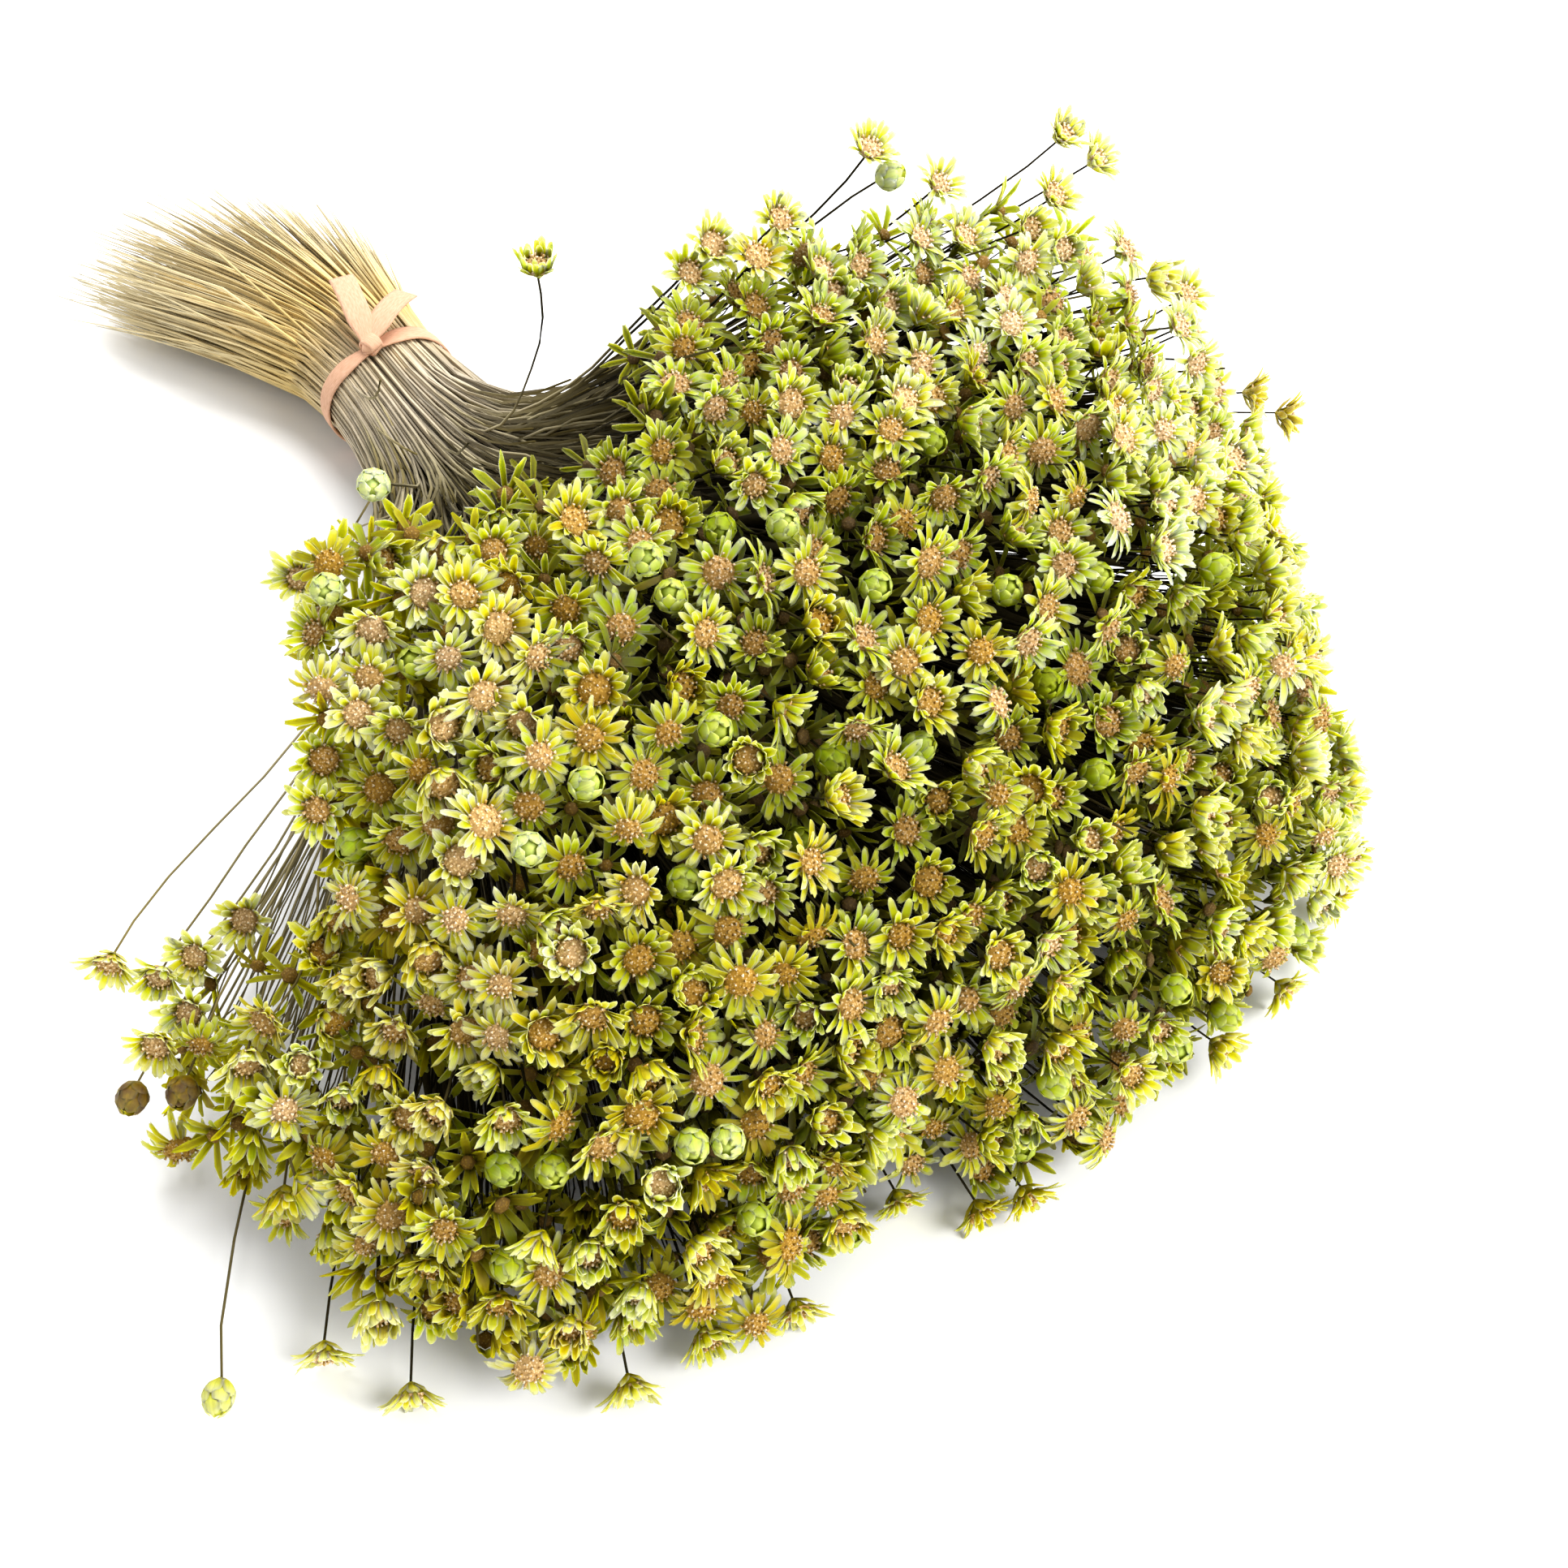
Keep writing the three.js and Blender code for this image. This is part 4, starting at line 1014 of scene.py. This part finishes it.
# How the heads look. Fewer blooms are cupped or bent back towards the top, those on the left and
# low down are older; painted shade darkens those deep inside, sunk into the mass and in the middle,
# and painted light brightens those at the sides.
look = {
    "seed": 21, "spraySeed": 100, "tilt": 0.26, "cupped": (0.66, -0.4, 0.15, 0.7),
    "bent": (0.6, -0.4, 0.1, 0.8), "cuppedOpen": (0.04, 0.52), "flatOpen": (0.62, 0.5),
    "bentOpen": (1.2, 0.5), "age": (0.06, 0.56), "leftOlder": 0.17, "lowOlder": 0.08,
    "ageMost": 0.62, "budAge": 0.3, "deepShade": 0.55, "backingShade": (0.32, 0.36, 0.25, 0.75),
    "sideLight": (0.82, 0.34, 0.2, 0.7), "tone": (0.85, 1.1), "sunkShade": (1.06, -0.5),
    "toneMost": 1.1, "budEdge": 0.8, "strayWiggle": 0.3,
}


def looks(head, whole, rng):
    # gives each head its tilt, turn, openness, age and tone, which holds painted shade and light;
    # the whole ones come first, then the backing
    count = len(head["end"])
    u, undecided, aBud = head["u"], head["age"] < 0, head["bud"]
    head["facing"] = unit(head["facing"] + rng.normal(0, 1, (count, 3))
                          * np.where(undecided, look["tilt"], 0)[:, None])
    depth = np.where(aBud, spread["budDepth"], spread["bloomDepth"])[:, None]
    head["end"] = head["neck"] + head["facing"] * depth
    head["side"], head["over"] = crossAxes(head["facing"])
    head["turn"] = rng.uniform(0, 6.28, count)
    height = (head["v"] + 1) / 2
    openDraw = rng.uniform(0, 1, count)
    cupped = rng.uniform(0, 1, count) < sloped(look["cupped"], height)
    bent = rng.uniform(0, 1, count) < sloped(look["bent"], height)
    wide = np.where(bent, line(look["bentOpen"], openDraw), line(look["flatOpen"], openDraw))
    opened = np.where(cupped, line(look["cuppedOpen"], openDraw), wide)
    head["open"] = np.where(head["open"] >= 0, head["open"], opened)
    age = (line(look["age"], rng.beta(2, 3, count)) - look["leftOlder"] * u
           - look["lowOlder"] * head["v"])
    age = np.clip(age, 0, look["ageMost"]) * np.where(aBud, look["budAge"], 1)
    head["age"] = np.where(undecided, age, head["age"])
    # painted shade: deep and backing heads are darker, the backing ones most in the middle
    inside = np.where(head["deep"], look["deepShade"], 1.0)
    inside[whole:] = sloped(look["backingShade"], np.abs(u[whole:]))
    # painted shade: heads sunk into the mass are darker; painted light: the sides are brighter
    sunk = np.clip(reach(u, head["v"]) - head["length"], 0, spread["outerDepth"])
    sunk[:len(strays)] = 0
    tone = (rng.uniform(*look["tone"], count) * inside * sloped(look["sideLight"], np.abs(u))
            * line(look["sunkShade"], sunk / spread["outerDepth"]))
    head["tone"] = np.minimum(tone, look["toneMost"])
    head["whole"] = np.arange(count) < whole
    head["edge"] = np.where(aBud, look["budEdge"], 1.0)
    stray = np.arange(count) < len(strays)
    head["wiggle"] = np.where(stray, look["strayWiggle"], 1.0) * stem["wiggle"]


print("placing the heads")
placed = placeHeads()
print("heads placed:", len(placed["end"]))
rng = np.random.default_rng(look["seed"])
heads = joined(placed, backingHeads(placed, rng))
looks(heads, len(placed["end"]), rng)
print("heads with the deep ones:", len(heads["end"]))

paperMat, floretMat, strawMat = paperyBract(), dryFloret(), wiryStraw()

for row in range(spread["rows"]):
    for column in range(spread["columns"]):
        here = (heads["column"] == column) & (heads["row"] == row)
        cellRng = np.random.default_rng(look["spraySeed"] + 10 * row + column)
        parts = stems(each(heads, here & heads["whole"]), cellRng, strawMat)
        parts += stems(each(heads, here & ~heads["whole"]), cellRng, strawMat, whole=False)
        parts += fillers(column, row, cellRng, strawMat)
        for fine in (True, False):
            blooms = here & ~heads["bud"] & (heads["deep"] != fine)
            parts += openBlooms(each(heads, blooms), cellRng, paperMat, floretMat, fine)
        if row < spread["rows"] - 1 and column > 0:
            parts.append(shadeStalks(column, row, cellRng, strawMat))
        if (here & heads["bud"]).any():
            parts += buds(each(heads, here & heads["bud"]), cellRng, paperMat)
        nodeName = f"spray_row{row + 1}_col{column + 1}"
        spray = pieceFrom(nodeName + "_fine", parts, [paperMat, floretMat, strawMat])
        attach(spray, "root")
        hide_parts(nodeName)
    print("row of sprays made:", row + 1)

bandMat = paperBand()
tiePiece = pieceFrom("tie_band_fine", tieBand(bandMat), [bandMat])
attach(tiePiece, "root")
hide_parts("tie_band")
print("tie made")

# Stage: a plain pale floor, a bright room, a broad soft light from above and behind, and a second
# from the right. Each light's turn is from the camera's, its energy in watts.
stage = {
    "floorSize": 6.0, "floorColour": "#fcfcfc", "floorRoughness": 0.9, "room": 0.68,
    "lightDistance": 1.1, "key": {"turn": -190.0, "raise": 58.0, "size": 0.9, "energy": 17.0},
    "fill": {"turn": 60.0, "raise": 35.0, "size": 0.7, "energy": 14.0},
}

# Camera: the photo's view, turned and raised round a point in the head.
view = {
    "turn": 58.0, "raise": 50.0, "distance": 0.300, "target": (0.081, -0.002, 0.040),
    "focalPixels": 2500, "framePixels": 1932, "sensor": 36.0, "clipStart": 0.01,
}

floorMat, floorTree, floorShader = newMaterial("paleFloor")
feed(floorTree, floorShader, {"Base Color": linear(stage["floorColour"]),
                              "Roughness": stage["floorRoughness"]})
half = stage["floorSize"] / 2
floorMesh = bpy.data.meshes.new("floor")
floorMesh.from_pydata([(-half, -half, 0), (half, -half, 0), (half, half, 0), (-half, half, 0)],
                      [], [(0, 1, 2, 3)])
floorMesh.materials.append(floorMat)
floor = bpy.data.objects.new("floor", floorMesh)
bpy.context.scene.collection.objects.link(floor)

world = bpy.data.worlds.new("room")
world.use_nodes = True
world.node_tree.nodes["Background"].inputs["Color"].default_value = (1, 1, 1, 1)
world.node_tree.nodes["Background"].inputs["Strength"].default_value = stage["room"]
bpy.context.scene.world = world
bpy.context.scene.view_settings.view_transform = "Standard"


def towards(turn, raised):
    # the way from the target to a place at these degrees round it and above it
    turn, raised = math.radians(turn), math.radians(raised)
    return Vector((math.sin(turn) * math.cos(raised), -math.cos(turn) * math.cos(raised),
                   math.sin(raised)))


for name in ("key", "fill"):
    values = stage[name]
    way = towards(view["turn"] + values["turn"], values["raise"])
    light = bpy.data.lights.new(name, "AREA")
    light.shape = "DISK"
    light.size = values["size"]
    light.energy = values["energy"]
    lamp = bpy.data.objects.new(name, light)
    lamp.location = Vector(view["target"]) + way * stage["lightDistance"]
    lamp.rotation_mode = "QUATERNION"
    lamp.rotation_quaternion = (-way).to_track_quat("-Z", "Y")
    bpy.context.scene.collection.objects.link(lamp)

back = towards(view["turn"], view["raise"])
right = towards(view["turn"] + 90, 0)
camData = bpy.data.cameras.new("camera")
camData.sensor_width = view["sensor"]
camData.lens = view["focalPixels"] / view["framePixels"] * view["sensor"]
camData.clip_start = view["clipStart"]
camera = bpy.data.objects.new("camera", camData)
turning = Matrix((right, back.cross(right), back)).transposed().to_4x4()
camera.matrix_world = (Matrix.Translation(Vector(view["target"]) + back * view["distance"])
                       @ turning)
bpy.context.scene.collection.objects.link(camera)
bpy.context.scene.camera = camera
print("stage and camera made")
